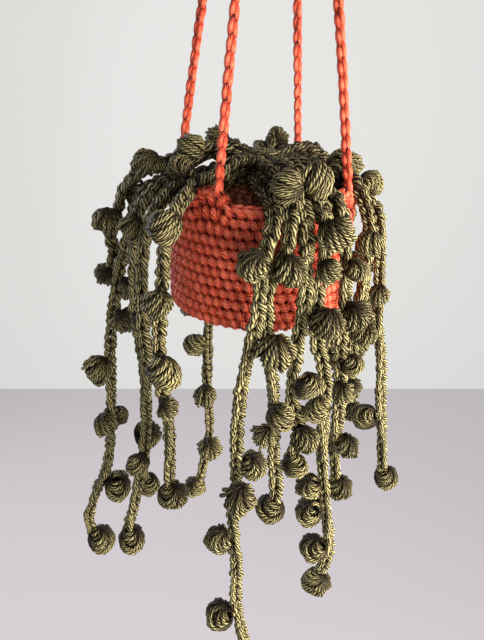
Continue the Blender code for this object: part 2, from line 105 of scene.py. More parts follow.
print("frame loaded: rim at", round(rimZ / mm, 1), "mm, axis at", round(axisX / mm, 1), "mm")


# Small helpers

def hexColor(text):
    channels = [int(text[i:i + 2], 16) / 255 for i in (1, 3, 5)]
    linear = [c / 12.92 if c <= 0.04045 else ((c + 0.055) / 1.055) ** 2.4 for c in channels]
    return (*linear, 1.0)


def addNode(tree, kind, inputs=None, **settings):
    made = tree.nodes.new(kind)
    for name, value in settings.items():
        setattr(made, name, value)
    for key, value in (inputs or {}).items():
        socket = next((s for s in made.inputs if s.identifier == key), None) or made.inputs[key]
        if isinstance(value, bpy.types.NodeSocket):
            tree.links.new(value, socket)
        else:
            socket.default_value = value
    return made


def addObject(name, data):
    made = bpy.data.objects.new(name, data)
    bpy.context.scene.collection.objects.link(made)
    return made


def polar(radius, azimuth, z):
    angle = math.radians(azimuth)
    return Vector((radius * math.cos(angle), radius * math.sin(angle), z))


def swung(a, b, angle):
    # from direction a towards b, which is square to it
    return a * math.cos(angle) + b * math.sin(angle)


def squareTo(along, direction):
    # the part of a direction that is square to along
    return (direction - along * direction.dot(along)).normalized()


def heading(path, i):
    return (path[min(i + 1, len(path) - 1)] - path[max(i - 1, 0)]).normalized()


def distances(path):
    # how far along the path each of its points lies
    result = [0.0]
    for a, b in zip(path, path[1:]):
        result.append(result[-1] + (b - a).length)
    return result


def peak(azimuth, rise, sides):
    # how far a cord pulls up the rim at this azimuth
    away = min(((azimuth - cord + 180) % 360 - 180 for cord in cordAzimuths.values()), key=abs)
    flat, width = sides[0] if away < 0 else sides[1]
    return rise * math.exp(-((max(0.0, abs(away) - flat) / width) ** 2))


def onCurve(a, b, c, d, t):
    # Catmull-Rom: from b at t = 0 to c at t = 1, with a before them and d after them
    return 0.5 * (2 * b + (c - a) * t + (2 * a - 5 * b + 4 * c - d) * t * t
                  + (3 * b - a - 3 * c + d) * t * t * t)


def withEnds(points):
    # one more point at each end, so that the curve runs through all the given ones
    return [points[0] * 2 - points[1], *points, points[-1] * 2 - points[-2]]


def between(points, t):
    # a smooth curve through a few points, read at t from 0 to 1
    place = t * (len(points) - 1)
    i = min(int(place), len(points) - 2)
    return onCurve(*withEnds(points)[i:i + 4], place - i)


def smoothCurve(points, step):
    # evenly spaced points on a smooth curve through the given ones
    fine = []
    ends = withEnds(points)
    for four in zip(ends, ends[1:], ends[2:], ends[3:]):
        fine += [onCurve(*four, i / 12) for i in range(12)]
    fine.append(points[-1].copy())
    lengths = distances(fine)
    count = max(2, round(lengths[-1] / step))
    result = []
    k = 0
    for i in range(count + 1):
        wanted = lengths[-1] * i / count
        while k < len(lengths) - 2 and lengths[k + 1] < wanted:
            k += 1
        share = (wanted - lengths[k]) / (lengths[k + 1] - lengths[k])
        result.append(fine[k].lerp(fine[k + 1], share))
    return result


def newMaterial(name, values):
    # values are inputs of its shader
    made = bpy.data.materials.new(name)
    made.use_nodes = True
    shader = made.node_tree.nodes["Principled BSDF"]
    for label, value in values.items():
        shader.inputs[label].default_value = value
    return made, made.node_tree, shader


def finishWork(work, name):
    # a bmesh becomes an object
    bmesh.ops.recalc_face_normals(work, faces=work.faces)
    mesh = bpy.data.meshes.new(name)
    work.to_mesh(mesh)
    work.free()
    return addObject(name, mesh)


# Camera: a 33.75 mm lens on the photograph's 484 x 640 frame, looking down and rolled a little

camera = {
    "lens": 33.75,
    "pitch": math.radians(23.4),
    "roll": math.radians(3.3),
    "right": -6.6 * mm,          # from the pot's axis
    "distance": 306.9 * mm,      # in front of the pot's axis
    "aboveRim": 60.1 * mm,
}


def makeCamera():
    data = bpy.data.cameras.new("camera")
    data.lens = camera["lens"]
    data.sensor_width = 36
    data.clip_start = 0.01
    made = addObject("camera", data)
    pitch, roll = camera["pitch"], camera["roll"]
    right = Vector((1, 0, 0))
    up = Vector((0, math.sin(pitch), math.cos(pitch)))
    back = Vector((0, -math.cos(pitch), math.sin(pitch)))
    place = potAxis + Vector((camera["right"], -camera["distance"], rimZ + camera["aboveRim"]))
    camera["place"], camera["back"] = place, back
    axes = Matrix((swung(right, up, roll), swung(up, -right, roll), back)).transposed()
    made.matrix_world = Matrix.Translation(place) @ axes.to_4x4()
    bpy.context.scene.camera = made


makeCamera()


# Stage: a plain pale floor and walls, far enough away for the camera to go round

stage = {
    "floorBelowCamera": 1.0,
    "wallBehindAxis": 1.43,
    "reach": 4.0,                # how far the floor goes to the sides and the front, and the walls go up
    "wallColor": "#e1e2e1",
    "floorColor": "#d1cbd0",
    "paint": 0.35,               # how much lamplight the panels give back
    "wallGlow": 0.74,            # their own light, so that they stay as pale as in daylight
    "floorGlow": 0.66,
}


def wallPaint(name, color, glow):
    # matt: even, no gloss
    return newMaterial(name, {
        "Base Color": [c * stage["paint"] for c in hexColor(color)[:3]] + [1.0],
        "Roughness": 0.95,
        "Specular IOR Level": 0.1,
        "Emission Color": hexColor(color),
        "Emission Strength": glow,
    })[0]


def makePanel(name, corners, material):
    mesh = bpy.data.meshes.new(name)
    mesh.from_pydata(corners, [], [(0, 1, 2, 3)])
    # the pot hangs a little askew in the photograph's room, so the room is turned by the camera's roll
    place = camera["place"]
    roll = Matrix.Rotation(camera["roll"], 4, camera["back"])
    mesh.transform(Matrix.Translation(place) @ roll @ Matrix.Translation(-place))
    mesh.materials.append(material)
    made = addObject(name, mesh)
    made.visible_diffuse = False     # its glow is only seen, so that the shade on the yarn stays deep


def makeStage():
    floorZ = rimZ + camera["aboveRim"] - stage["floorBelowCamera"]
    reach, wallY = stage["reach"], stage["wallBehindAxis"]
    onFloor = wallPaint("pale matt floor paint", stage["floorColor"], stage["floorGlow"])
    onWalls = wallPaint("pale matt wall paint", stage["wallColor"], stage["wallGlow"])
    corners = [(-reach, -reach), (reach, -reach), (reach, wallY), (-reach, wallY)]
    makePanel("stage_floor", [(x, y, floorZ) for x, y in corners], onFloor)
    # the wall behind is in the photograph's view; the others are only seen from other sides
    for name, ends in (("", (3, 2)), ("_left", (0, 3)), ("_right", (1, 2)), ("_front", (0, 1))):
        low = [(*corners[end], floorZ) for end in ends]
        high = [(x, y, z + reach) for x, y, z in reversed(low)]
        makePanel("stage_wall" + name, low + high, onWalls)


# each light's place from the pot's axis and rim, its size, watts and colour
lights = {
    "window_light": ((0.66, -0.34, -0.04), (0.45, 0.8), 24, "#fff4e6"),
    "front_light": ((0.30, -0.95, -0.14), (0.6, 0.5), 6, "#fff8f0"),
    "back_light": ((-1.0, 0.85, 0.1), (0.5, 0.8), 14, "#f6f7ff"),
}


def makeLights():
    middle = Vector((axisX, 0.0, rimZ - 0.08))
    for name, ((x, y, z), size, power, color) in lights.items():
        data = bpy.data.lights.new(name, "AREA")
        data.shape = "RECTANGLE"
        data.size, data.size_y = size
        data.energy = power
        data.color = hexColor(color)[:3]
        made = addObject(name, data)
        made.location = (x, y, rimZ + z)
        made.rotation_euler = (middle - made.location).to_track_quat("-Z", "Y").to_euler()
    world = bpy.data.worlds.new("pale room")
    bpy.context.scene.world = world
    world.use_nodes = True
    background = world.node_tree.nodes["Background"]
    background.inputs["Color"].default_value = hexColor("#e9ebee")
    background.inputs["Strength"].default_value = 0.26
    bpy.context.scene.view_settings.view_transform = "Standard"


makeStage()
makeLights()
print("camera, stage and lights made")


# Yarn materials. Worsted acrylic: plies of crimped fibre, matt with a soft sheen; painted shade darkens
# them between the plies, and painted highlights lighten their crests

fibreLook = {
    "lay": 10.0,                 # mm of yarn in which the plies go once round it
    "patches": 160.0,            # dye and handling: patches about 6 mm across,
    "patchTone": 0.26,           # how far they show in colour,
    "patchWander": 9.0,          # and how far they let the plies wander
    "tone": 0.14,                # how far one stitch is lighter than another
    # painted shade for chain that lies gathered, as if in its own shade:
    "slackFrom": 1.15,           # a chain wider than this lies gathered on the soil,
    "slackShade": -0.6,          # and is in its own shade
    "fibres": (24.0, 0.5, 1.0),  # real ones are 0.02 mm; these are as coarse as it takes to show
    "crestMean": 0.64,           # the means of the plies' wave and of the fibres' noise
    "fibreMean": 0.5,
    "deepAt": 0.18,              # where between dark and light the deep and the body colour lie
    "bodyAt": 0.64,
}
# deep is painted shade, between the plies and between stitches; body shows on the plies' flanks, and light
# is a painted highlight on their crests; mean is where between them the yarn lies on the whole; relief and
# fibre are how far plies and fibres stand out in colour, the plies by that painted highlight and shade;
# and depth, in mm, is the valley between two plies
yarns = {
    "coral": dict(deep="#300401", body="#d24a30", light="#ff8a6c", mean=0.82, relief=0.55, plies=8,
                  fibre=1.1, depth=0.26, sheen=0.04),
    "olive": dict(deep="#100401", body="#40381d", light="#aaa272", mean=0.61, relief=1.25, plies=4,
                  fibre=1.4, depth=0.4, sheen=0.02),
    "brown": dict(deep="#180300", body="#7a3f24", light="#c98763", mean=0.82, relief=0.8, plies=5,
                  fibre=1.5, depth=0.34, sheen=0.04),
}


def yarnMaterial(color):
    yarn = yarns[color]
    made, tree, shader = newMaterial("worsted acrylic yarn, " + color, {
        "Roughness": 0.6,
        "Specular IOR Level": 0.2,
        "Sheen Weight": yarn["sheen"],
        "Sheen Roughness": 0.45,
        "Sheen Tint": hexColor(yarn["light"]),
    })
    # painted light: 1 where the yarn lies open, 0 where it has full painted shade
    paintedLight = addNode(tree, "ShaderNodeAttribute", attribute_name="paintedLight").outputs["Fac"]
    tone = addNode(tree, "ShaderNodeAttribute", attribute_name="tone").outputs["Fac"]
    size = addNode(tree, "ShaderNodeAttribute", attribute_name="size").outputs["Vector"]
    where = addNode(tree, "ShaderNodeTexCoord").outputs["Object"]
    yarnPlace = addNode(tree, "ShaderNodeUVMap", uv_map="yarn").outputs["UV"]
    split = addNode(tree, "ShaderNodeSeparateXYZ", {"Vector": yarnPlace}).outputs
    patches = addNode(tree, "ShaderNodeTexNoise", {
        "Vector": where, "Scale": fibreLook["patches"], "Detail": 2.0}).outputs["Fac"]
    # u runs round the yarn and v along it in mm, so a ply is a slanted band
    turns = yarn["plies"] * math.pi
    slant = addNode(tree, "ShaderNodeMath", {0: split["X"], 1: turns}, operation="MULTIPLY").outputs[0]
    for source, weight in ((split["Y"], turns / fibreLook["lay"]), (patches, fibreLook["patchWander"])):
        slant = addNode(tree, "ShaderNodeMath", {0: source, 1: weight, 2: slant},
                        operation="MULTIPLY_ADD").outputs[0]
    wave = addNode(tree, "ShaderNodeMath", {0: slant}, operation="SINE").outputs[0]
    crest = addNode(tree, "ShaderNodeMath", {0: wave}, operation="ABSOLUTE").outputs[0]
    stretched = addNode(tree, "ShaderNodeMapping", {
        "Vector": yarnPlace, "Scale": fibreLook["fibres"]}).outputs[0]
    fibres = addNode(tree, "ShaderNodeTexNoise", {
        "Vector": stretched, "Scale": 1.0, "Detail": 3.0, "Roughness": 0.6}).outputs["Fac"]
    # painted shade where a chain is wider than it is where it hangs
    width = addNode(tree, "ShaderNodeSeparateXYZ", {"Vector": size}).outputs["X"]
    slack = addNode(tree, "ShaderNodeMath", {0: width, 1: fibreLook["slackFrom"]},
                    operation="SUBTRACT").outputs[0]
    slack = addNode(tree, "ShaderNodeMath", {0: slack, 1: 0.0}, operation="MAXIMUM").outputs[0]
    # level runs from deep to light: plies and fibres first, with a painted highlight on each crest and
    # painted shade in the valleys, then painted shade where the yarn does not lie open, then the rest
    level = yarn["mean"] - fibreLook["crestMean"] * yarn["relief"] - fibreLook["fibreMean"] * yarn["fibre"]
    for source, weight in ((crest, yarn["relief"]), (fibres, yarn["fibre"])):
        level = addNode(tree, "ShaderNodeMath", {0: source, 1: weight, 2: level},
                        operation="MULTIPLY_ADD").outputs[0]
    level = addNode(tree, "ShaderNodeMath", {0: level, 1: paintedLight, 2: -0.2},
                    operation="MULTIPLY_ADD").outputs[0]
    for source, shade in ((tone, "tone"), (patches, "patchTone"), (slack, "slackShade")):
        level = addNode(tree, "ShaderNodeMath", {0: source, 1: fibreLook[shade], 2: level},
                        operation="MULTIPLY_ADD").outputs[0]
    # the ramp paints shade with the deep colour and highlights with the light one
    ramp = addNode(tree, "ShaderNodeValToRGB", {"Fac": level})
    stops = ramp.color_ramp.elements
    stops[0].position, stops[0].color = fibreLook["deepAt"], hexColor(yarn["deep"])
    stops[1].position, stops[1].color = 1.0, hexColor(yarn["light"])
    stops.new(fibreLook["bodyAt"]).color = hexColor(yarn["body"])
    tree.links.new(ramp.outputs["Color"], shader.inputs["Base Color"])
    height = addNode(tree, "ShaderNodeMath", {0: fibres, 1: 0.5, 2: crest},
                     operation="MULTIPLY_ADD").outputs[0]
    bump = addNode(tree, "ShaderNodeBump", {
        "Height": height, "Strength": 1.0, "Distance": yarn["depth"] * mm}).outputs[0]
    tree.links.new(bump, shader.inputs["Normal"])
    return made


coralYarn = yarnMaterial("coral")
oliveYarn = yarnMaterial("olive")
brownYarn = yarnMaterial("brown")


# Yarn as geometry: a soft round tube; its material draws the plies

yarnSides = 6


def newWork():
    work = bmesh.new()
    # a layer for the painted light and shade, and the yarn's UV map
    work.verts.layers.float.new("paintedLight")
    work.loops.layers.uv.new("yarn")
    return work


def addYarn(work, path, radii, lit, facing, loose=1.0, fine=1.0):
    # work is a bmesh with its layers; radii and lit go with the path's points; lit is the painted light,
    # from 1 where the yarn lies open to 0 in full painted shade;
    # loose below 1 lays the plies longer, fine above 1 makes more of them
    paintedLight = work.verts.layers.float["paintedLight"]
    uv = work.loops.layers.uv["yarn"]
    side = Vector(facing)
    rings = []
    for i, point in enumerate(path):
        along = heading(path, i)
        side = squareTo(along, side)
        across = along.cross(side)
        turns = [math.tau * k / yarnSides for k in range(yarnSides)]
        rings.append([work.verts.new(point + swung(side, across, turn) * radii[i]) for turn in turns])
        for vert in rings[-1]:
            vert[paintedLight] = lit[i]
    travelled = distances(path)
    for i, (low, high) in enumerate(zip(rings, rings[1:])):
        for k in range(yarnSides):
            n = (k + 1) % yarnSides
            face = work.faces.new((low[k], low[n], high[n], high[k]))
            face.smooth = True
            corners = ((k, i), (k + 1, i), (k + 1, i + 1), (k, i + 1))
            for loop, (u, v) in zip(face.loops, corners):
                loop[uv].uv = (fine * u / yarnSides, travelled[v] * loose / mm)
    for ring in (list(reversed(rings[0])), rings[-1]):
        work.faces.new(ring).smooth = True


# Stitches. Each is modelled along its path: X across the path, Y out of the fabric, Z along the path

def shapedYarn(work, marks, radius, stitch, count, light=1.0):
    # one piece of yarn along a smooth curve, thinner and with painted shade at its hidden ends; late below 1
    # brings its fullest part, with the most painted light, nearer to its start
    ticks = [i / count for i in range(count + 1)]
    swell = [abs(math.sin(math.pi * t ** stitch["late"])) for t in ticks]
    radii = [radius * (stitch["ends"] + (1 - stitch["ends"]) * full ** 0.6) for full in swell]
    # painted shade at the hidden ends, the most painted light at the fullest part
    lit = [light * (0.1 + 0.9 * full ** stitch["shade"]) for full in swell]
    addYarn(work, [between(marks, t) for t in ticks], radii, lit, (0.31, 0.95, 0.07), fine=stitch["fine"])


# the links of the three chains: yarn is its radius; reach is a leg's length from the middle of its link, in
# pitches; ends is how thick a leg still is at its ends; shade above 1 spreads its painted shade at the ends
# over more of its length; stray is how unlike the links are; fine above 1 draws more plies; light is how
# much painted light a leg's crest gets
stemChain = dict(width=7.8 * mm, pitch=4.7 * mm, depth=6.2 * mm, yarn=1.62 * mm, reach=0.92, ends=0.56,
                 shade=0.8, late=1.0, stray=0.32 * mm, fine=1.5, light=1.1, sections=5, variants=3, seed=41)
cordChain = dict(width=5.1 * mm, pitch=6.4 * mm, depth=4.6 * mm, yarn=1.42 * mm, reach=0.95, ends=0.62,
                 shade=1.15, late=1.0, stray=0.2 * mm, fine=1.0, light=0.9, sections=8, variants=2, seed=42)
rimChain = dict(width=5.0 * mm, pitch=4.85 * mm, depth=3.4 * mm, yarn=1.28 * mm, reach=1.12, ends=0.5,
                shade=1.0, late=1.0, stray=0.15 * mm, fine=1.0, light=1.0, sections=6, variants=2, seed=43)


def makeChainStitch(name, chain, draw):
    # one link: two legs that rise from inside the last link, lean out, and bend in under the next one, and a
    # bump along its back
    work = newWork()
    pitch = chain["pitch"]
    lean = chain["width"] / 2 - chain["yarn"]
    out = chain["depth"] / 2 - chain["yarn"]
    leg = [(0.10, -0.20, -0.92), (0.40, 0.65, -0.50), (0.90, 1.00, -0.02), (1.05, 0.50, 0.42),
           (0.35, -0.20, 0.84)]
    for hand in (-1, 1):
        shift = Vector([draw.uniform(-1, 1) * chain["stray"] for axis in "xyz"])
        marks = [Vector((hand * x * lean, y * out, z * chain["reach"] * pitch)) + shift for x, y, z in leg]
        radius = chain["yarn"] * draw.uniform(0.94, 1.08)
        shapedYarn(work, marks, radius, chain, chain["sections"], chain["light"])
    back = [(0.2, -0.1, -0.75), (0.1, -0.85, -0.35), (-0.1, -1.05, 0.10), (-0.1, -0.1, 0.60)]
    marks = [Vector((x * lean, y * out, z * pitch)) for x, y, z in back]
    shapedYarn(work, marks, chain["yarn"] * 1.05, chain, 4, chain["light"])
    return finishWork(work, name)


singleCrochet = {
    "width": 4.85 * mm,
    "height": 4.95 * mm,
    "left": 1.86 * mm,           # radius of the leg that leans
    "right": 1.42 * mm,          # radius of the steeper leg, which lies deeper, half in the other's shade
    # how much painted light the steeper leg gets: painted shade, as it lies half in the other's shade
    "deeper": 0.84,
    "rise": 0.95 * mm,           # how far the legs' middles stand out, and how deep their ends go
    "dive": 2.2 * mm,
    # ends, shade and late as for the chain links; shade spreads the painted shade at a leg's ends
    "ends": 0.55,
    "shade": 1.5,
    "late": 0.85,
    "fine": 1.0,
    "sections": 5,
    "variants": 3,
    "seed": 31,
}


def makeSingleCrochet(name, stitch, draw):
    # X is up the fabric, Z along the round: a wide V whose legs dive under the rounds above and below
    work = newWork()
    rise, dive = stitch["rise"], stitch["dive"]
    left = [(0.46, -dive, -0.46), (0.33, 0.45 * rise, -0.36), (0.07, rise, -0.17),
            (-0.21, 0.35 * rise, 0.00), (-0.44, -dive, 0.09)]
    right = [(0.46, -dive, 0.30), (0.31, 0.25 * rise, 0.29), (0.05, 0.5 * rise, 0.25),
             (-0.19, 0.0, 0.17), (-0.40, -dive, 0.10)]
    # the steeper leg takes its painted shade
    for radius, light, leg in ((stitch["left"], 1.0, left), (stitch["right"], stitch["deeper"], right)):
        shift = Vector([draw.uniform(-stray, stray) * mm for stray in (0.2, 0.15, 0.2)])
        marks = [Vector((up * stitch["height"], out, along * stitch["width"])) + shift
                 for up, out, along in leg]
        shapedYarn(work, marks, radius * draw.uniform(0.96, 1.05), stitch, stitch["sections"], light)
    return finishWork(work, name)


bobble = {
    "radius": 8.4 * mm,
    "yarn": 1.14 * mm,           # radius of a strand at the middle of its arc
    "spacing": 1.72 * mm,        # between the middles of two strands at the far side,
    "closest": 10.5,             # or these degrees of turn, where they are more
    "pole": 25.0,                # degrees from the stem's side to where the strands are drawn together
    "widest": 84.0,              # degrees to each side of the far end that the strands cover
    "lobe": 3,                   # strands in a lobe, of which the first lies in a groove
    "groove": 0.88,              # radius there and elsewhere, and how light it is there
    "ridge": 1.03,
    # the strand in the groove gets painted shade
    "grooveLight": 0.85,
    "lumps": 1.5,                # how close together its lumps are, and how high
    "lumpy": 0.24,
    "sections": 11,
    "variants": 4,
    "seed": 21,
}


def makeBobble(name, bobble, draw):
    # half-finished stitches drawn together at the stem: nested arcs of yarn over the far side of a ball.
    # X across, Y outward from the stem, Z along the stem
    work = newWork()
    radius = bobble["radius"] - bobble["yarn"]
    lean = math.cos(math.radians(bobble["pole"]))
    turns = [0.0]
    for hand in (-1, 1):
        turn = 0.0
        while abs(turn) < math.radians(bobble["widest"]):
            far = lean * math.cos(turn) + math.sqrt(1 - (lean * math.sin(turn)) ** 2)
            turn += hand * max(bobble["spacing"] / (radius * far), math.radians(bobble["closest"]))
            turns.append(turn)
    start = draw.randrange(bobble["lobe"])
    home = Vector([draw.uniform(-50, 50) for axis in "xyz"])
    for i, turn in enumerate(sorted(turns)):
        groove = (i + start) % bobble["lobe"] == 0
        ball = radius * ((bobble["groove"] if groove else bobble["ridge"]) * draw.uniform(0.94, 1.05))
        light = bobble["grooveLight"] if groove else 1.0
        arc = ball * math.sqrt(1 - (lean * math.sin(turn)) ** 2)
        out = Vector((math.sin(turn), math.cos(turn), 0.0))
        centre = Vector((0.0, -ball * lean, 0.0)) + out * (ball * lean * math.cos(turn))
        most = math.acos(-ball * lean * math.cos(turn) / arc)
        sway = draw.uniform(-0.10, 0.10)
        path, radii, lit = [], [], []
        for step in range(bobble["sections"] + 1):
            t = step / bobble["sections"]
            angle = most * (2 * t - 1)
            lift = math.sin(math.pi * t)
            point = centre + swung(out, Vector((0.0, 0.0, 1.0)), angle) * arc
            point.x += sway * ball * math.sin(2 * math.pi * t) * 0.5
            lump = noise.noise(point / radius * bobble["lumps"] + home)
            path.append(point * (1.01 + bobble["lumpy"] * lump * lift))
            radii.append(bobble["yarn"] * (0.62 + 0.38 * lift ** 0.6) * draw.uniform(0.97, 1.03))
            # painted shade towards the strand's ends, where the strands are drawn together, and more in a
            # groove
            lit.append((0.05 + 0.95 * lift ** 0.9) * light)
        addYarn(work, path, radii, lit, out, loose=0.95)
    # a dark core in full painted shade, so that nothing shows through between the strands
    paintedLight = work.verts.layers.float["paintedLight"]
    core = bmesh.ops.create_icosphere(work, subdivisions=2, radius=radius * 0.93)
    for vert in core["verts"]:
        vert.co.y = max(vert.co.y, -radius * 0.72)
        vert[paintedLight] = 0.0
    return finishWork(work, name)


# Geometry Nodes: stitches follow a path, or sit on points

def makeTree(name, onPath):
    # a stitch on each point: Z along the work, Y outward, turned a little at random; its tone differs from
    # stitch to stitch, and then the instances become one mesh
    tree = bpy.data.node_groups.new(name, "GeometryNodeTree")
    sockets = {
        "Geometry": "NodeSocketGeometry",
        "Stitches": "NodeSocketCollection",
        "Last Variant": "NodeSocketInt",
        "Wobble": "NodeSocketFloat",
        "Seed": "NodeSocketInt",
        "Yarn": "NodeSocketMaterial",
    }
    if onPath:
        sockets["Pitch"] = "NodeSocketFloat"
    for label, kind in sockets.items():
        tree.interface.new_socket(label, in_out="INPUT", socket_type=kind)
    tree.interface.new_socket("Geometry", in_out="OUTPUT", socket_type="NodeSocketGeometry")
    given = addNode(tree, "NodeGroupInput").outputs
    seed = given["Seed"]
    named = {}
    for label in ("outward", "size") if onPath else ("outward", "size", "along"):
        named[label] = addNode(tree, "GeometryNodeInputNamedAttribute", {"Name": label},
                               data_type="FLOAT_VECTOR").outputs[0]
    if onPath:
        curve = addNode(tree, "GeometryNodeMeshToCurve", {"Mesh": given["Geometry"]}).outputs[0]
        points = addNode(tree, "GeometryNodeResampleCurve", {"Curve": curve, "Length": given["Pitch"]},
                         mode="LENGTH").outputs[0]
        along = addNode(tree, "GeometryNodeInputTangent").outputs[0]
    else:
        points, along = given["Geometry"], named["along"]
    turn = addNode(tree, "FunctionNodeAlignRotationToVector", {"Vector": along},
                   axis="Z", pivot_axis="AUTO").outputs[0]
    turn = addNode(tree, "FunctionNodeAlignRotationToVector", {
        "Rotation": turn, "Vector": named["outward"]}, axis="Y", pivot_axis="Z").outputs[0]
    most = addNode(tree, "ShaderNodeMath", {0: given["Wobble"], 1: math.radians(1.0)},
                   operation="MULTIPLY").outputs[0]
    least = addNode(tree, "ShaderNodeMath", {0: most, 1: -1.0}, operation="MULTIPLY").outputs[0]
    swing = addNode(tree, "FunctionNodeRandomValue", {"Min": least, "Max": most, "Seed": seed},
                    data_type="FLOAT_VECTOR").outputs[0]
    swing = addNode(tree, "FunctionNodeEulerToRotation", {"Euler": swing}).outputs[0]
    turn = addNode(tree, "FunctionNodeRotateRotation", {"Rotation": turn, "Rotate By": swing},
                   rotation_space="LOCAL").outputs[0]
    variants = addNode(tree, "GeometryNodeCollectionInfo", {
        "Collection": given["Stitches"], "Separate Children": True, "Reset Children": True}).outputs[0]
    pick = addNode(tree, "FunctionNodeRandomValue", {
        "Min_002": 0, "Max_002": given["Last Variant"], "Seed": seed}, data_type="INT").outputs[2]
    placed = addNode(tree, "GeometryNodeInstanceOnPoints", {
        "Points": points, "Instance": variants, "Pick Instance": True, "Instance Index": pick,
        "Rotation": turn, "Scale": named["size"]}).outputs[0]
    tone = addNode(tree, "FunctionNodeRandomValue", {"Min_001": 0.0, "Max_001": 1.0, "Seed": seed},
                   data_type="FLOAT").outputs[1]
    toned = addNode(tree, "GeometryNodeStoreNamedAttribute", {
        "Geometry": placed, "Name": "tone", "Value": tone}, data_type="FLOAT", domain="INSTANCE").outputs[0]
    real = addNode(tree, "GeometryNodeRealizeInstances", {"Geometry": toned}).outputs[0]
    yarn = addNode(tree, "GeometryNodeSetMaterial", {"Geometry": real, "Material": given["Yarn"]}).outputs[0]
    addNode(tree, "NodeGroupOutput", {"Geometry": yarn})
    return tree


pathTree = makeTree("stitches along a path", True)
pointTree = makeTree("stitches on points", False)


def worked(name, base, tree, stitches, values):
    # runs a tree on a base object and returns the plain mesh as a new piece
    values.update({"Stitches": stitches, "Last Variant": len(stitches.objects) - 1})
    modifier = base.modifiers.new("work", "NODES")
    modifier.node_group = tree
    sockets = {item.name: item.identifier for item in tree.interface.items_tree if item.in_out == "INPUT"}
    for label, value in values.items():
        modifier[sockets[label]] = value
    bpy.context.view_layer.update()
    graph = bpy.context.evaluated_depsgraph_get()
    mesh = bpy.data.meshes.new_from_object(base.evaluated_get(graph))
    base.modifiers.remove(modifier)
    bpy.data.objects.remove(base)
    mesh.name = name
    return addObject(name, mesh)


def baseObject(name, places, edges, attributes):
    mesh = bpy.data.meshes.new(name)
    mesh.from_pydata([place + potAxis for place in places], edges, [])
    for label, vectors in attributes.items():
        flat = [value for vector in vectors for value in vector]
        mesh.attributes.new(label, "FLOAT_VECTOR", "POINT").data.foreach_set("vector", flat)
    return addObject(name, mesh)


def stitchPath(name, paths, stitches, pitch, yarn, seed, closed=False, wobble=4.0,
               size=lambda share: (1, 1, 1)):
    # each path is a list of (point, outward); a stitch is worked every pitch along it
    places, outward, edges, sizes = [], [], [], []
    for path in paths:
        first = len(places)
        places += [point for point, out in path]
        outward += [out for point, out in path]
        sizes += [size(i / (len(path) - 1)) for i in range(len(path))]
        edges += [(first + i, first + i + 1) for i in range(len(path) - 1)]
        if closed:
            edges.append((first + len(path) - 1, first))
    base = baseObject(name + "_path", places, edges, {"outward": outward, "size": sizes})
    return worked(name, base, pathTree, stitches, {
        "Pitch": pitch, "Wobble": wobble, "Seed": seed, "Yarn": yarn})


def stitchPoints(name, spots, stitches, yarn, seed, wobble=3.0):
    # each spot is (point, along, outward, size)
    places, along, outward, size = (list(column) for column in zip(*spots))
    base = baseObject(name + "_points", places, [], {"along": along, "outward": outward, "size": size})
    return worked(name, base, pointTree, stitches, {"Wobble": wobble, "Seed": seed, "Yarn": yarn})


templates = []                   # every variant made, deleted at the end


def family(name, make, stitch):
    # the variants of one stitch, for a tree to pick from
    draw = random.Random(stitch["seed"])
    group = bpy.data.collections.new(name)
    for i in range(stitch["variants"]):
        made = make(f"{name} {i}", stitch, draw)
        made.hide_render = True
        group.objects.link(made)
        templates.append(made)
    return group


def joined(name, parts):
    # several meshes as one piece
    with bpy.context.temp_override(active_object=parts[0], selected_editable_objects=parts):
        bpy.ops.object.join()
    parts[0].name = name
    parts[0].data.name = name
    return parts[0]


def turned(name, profile, sides, material, lift=None):
    # a closed form turned round the pot's axis; it lies under stitches, so its yarn is all in painted shade:
    # with no painted light on it, its material gives it the deep colour
    work = bmesh.new()
    verts = [work.verts.new((r, 0.0, z)) for r, z in profile]
    edges = [work.edges.new(pair) for pair in zip(verts, verts[1:])]
    bmesh.ops.spin(work, geom=verts + edges, cent=(0, 0, 0), axis=(0, 0, 1), angle=math.tau, steps=sides)
    bmesh.ops.remove_doubles(work, verts=work.verts, dist=1e-6)
    if lift:
        for vert in work.verts:
            vert.co.z += lift(vert.co)
    bmesh.ops.translate(work, verts=work.verts, vec=potAxis)
    for face in work.faces:
        face.smooth = True
    made = finishWork(work, name)
    made.data.materials.append(material)
    return made


def dressed(piece, node):
    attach(piece, "root")
    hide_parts(node)


# The hanger: four chain cords, a wound knot and a chain loop

hanger = {
    "cordRing": 45.2 * mm,
    "apexAboveRim": 264.0 * mm,
    "apexShift": -6.0 * mm,
    "knotHeight": 17.0 * mm,
    "knotRadius": 9.0 * mm,
    "spread": 5.2 * mm,
    "gap": 0.3 * mm,
    "diameter": 4.5 * mm,
    "points": 21,
    "chainStart": 2.0 * mm,      # the chain starts and ends this far inside the cord's ends
    "chainEnd": 4.0 * mm,
    # how each cord is turned on its line, in degrees, and how much further it twists to both sides
    "cordTurns": {"cord_right": 30, "cord_back": 75, "cord_left": -20, "cord_front": -60},
    "cordTwist": 35,
    "knotTurns": 3.0,
    "knotPoints": 61,
    "knotChain": 2.5 * mm,       # from the knot's face in to the middle of the winding
    "knotMargin": 2.3 * mm,      # the same at its top and bottom
    "knotTuck": 2.2 * mm,        # how far the winding's ends are tucked in
    "knotPitch": 0.85,           # in pitches of the cords' chain
    "loopPitch": 0.96,
    "loopCord": 5.0 * mm,
    "loopWidth": 24.0 * mm,
    "loopFeet": 5.5 * mm,
    "loopFootHeight": 5.0 * mm,
    "loopOpen": 38.0,            # degrees below the middle at which the eye's round ends
}
apexShift = Vector((hanger["apexShift"], 0.0, 0.0))


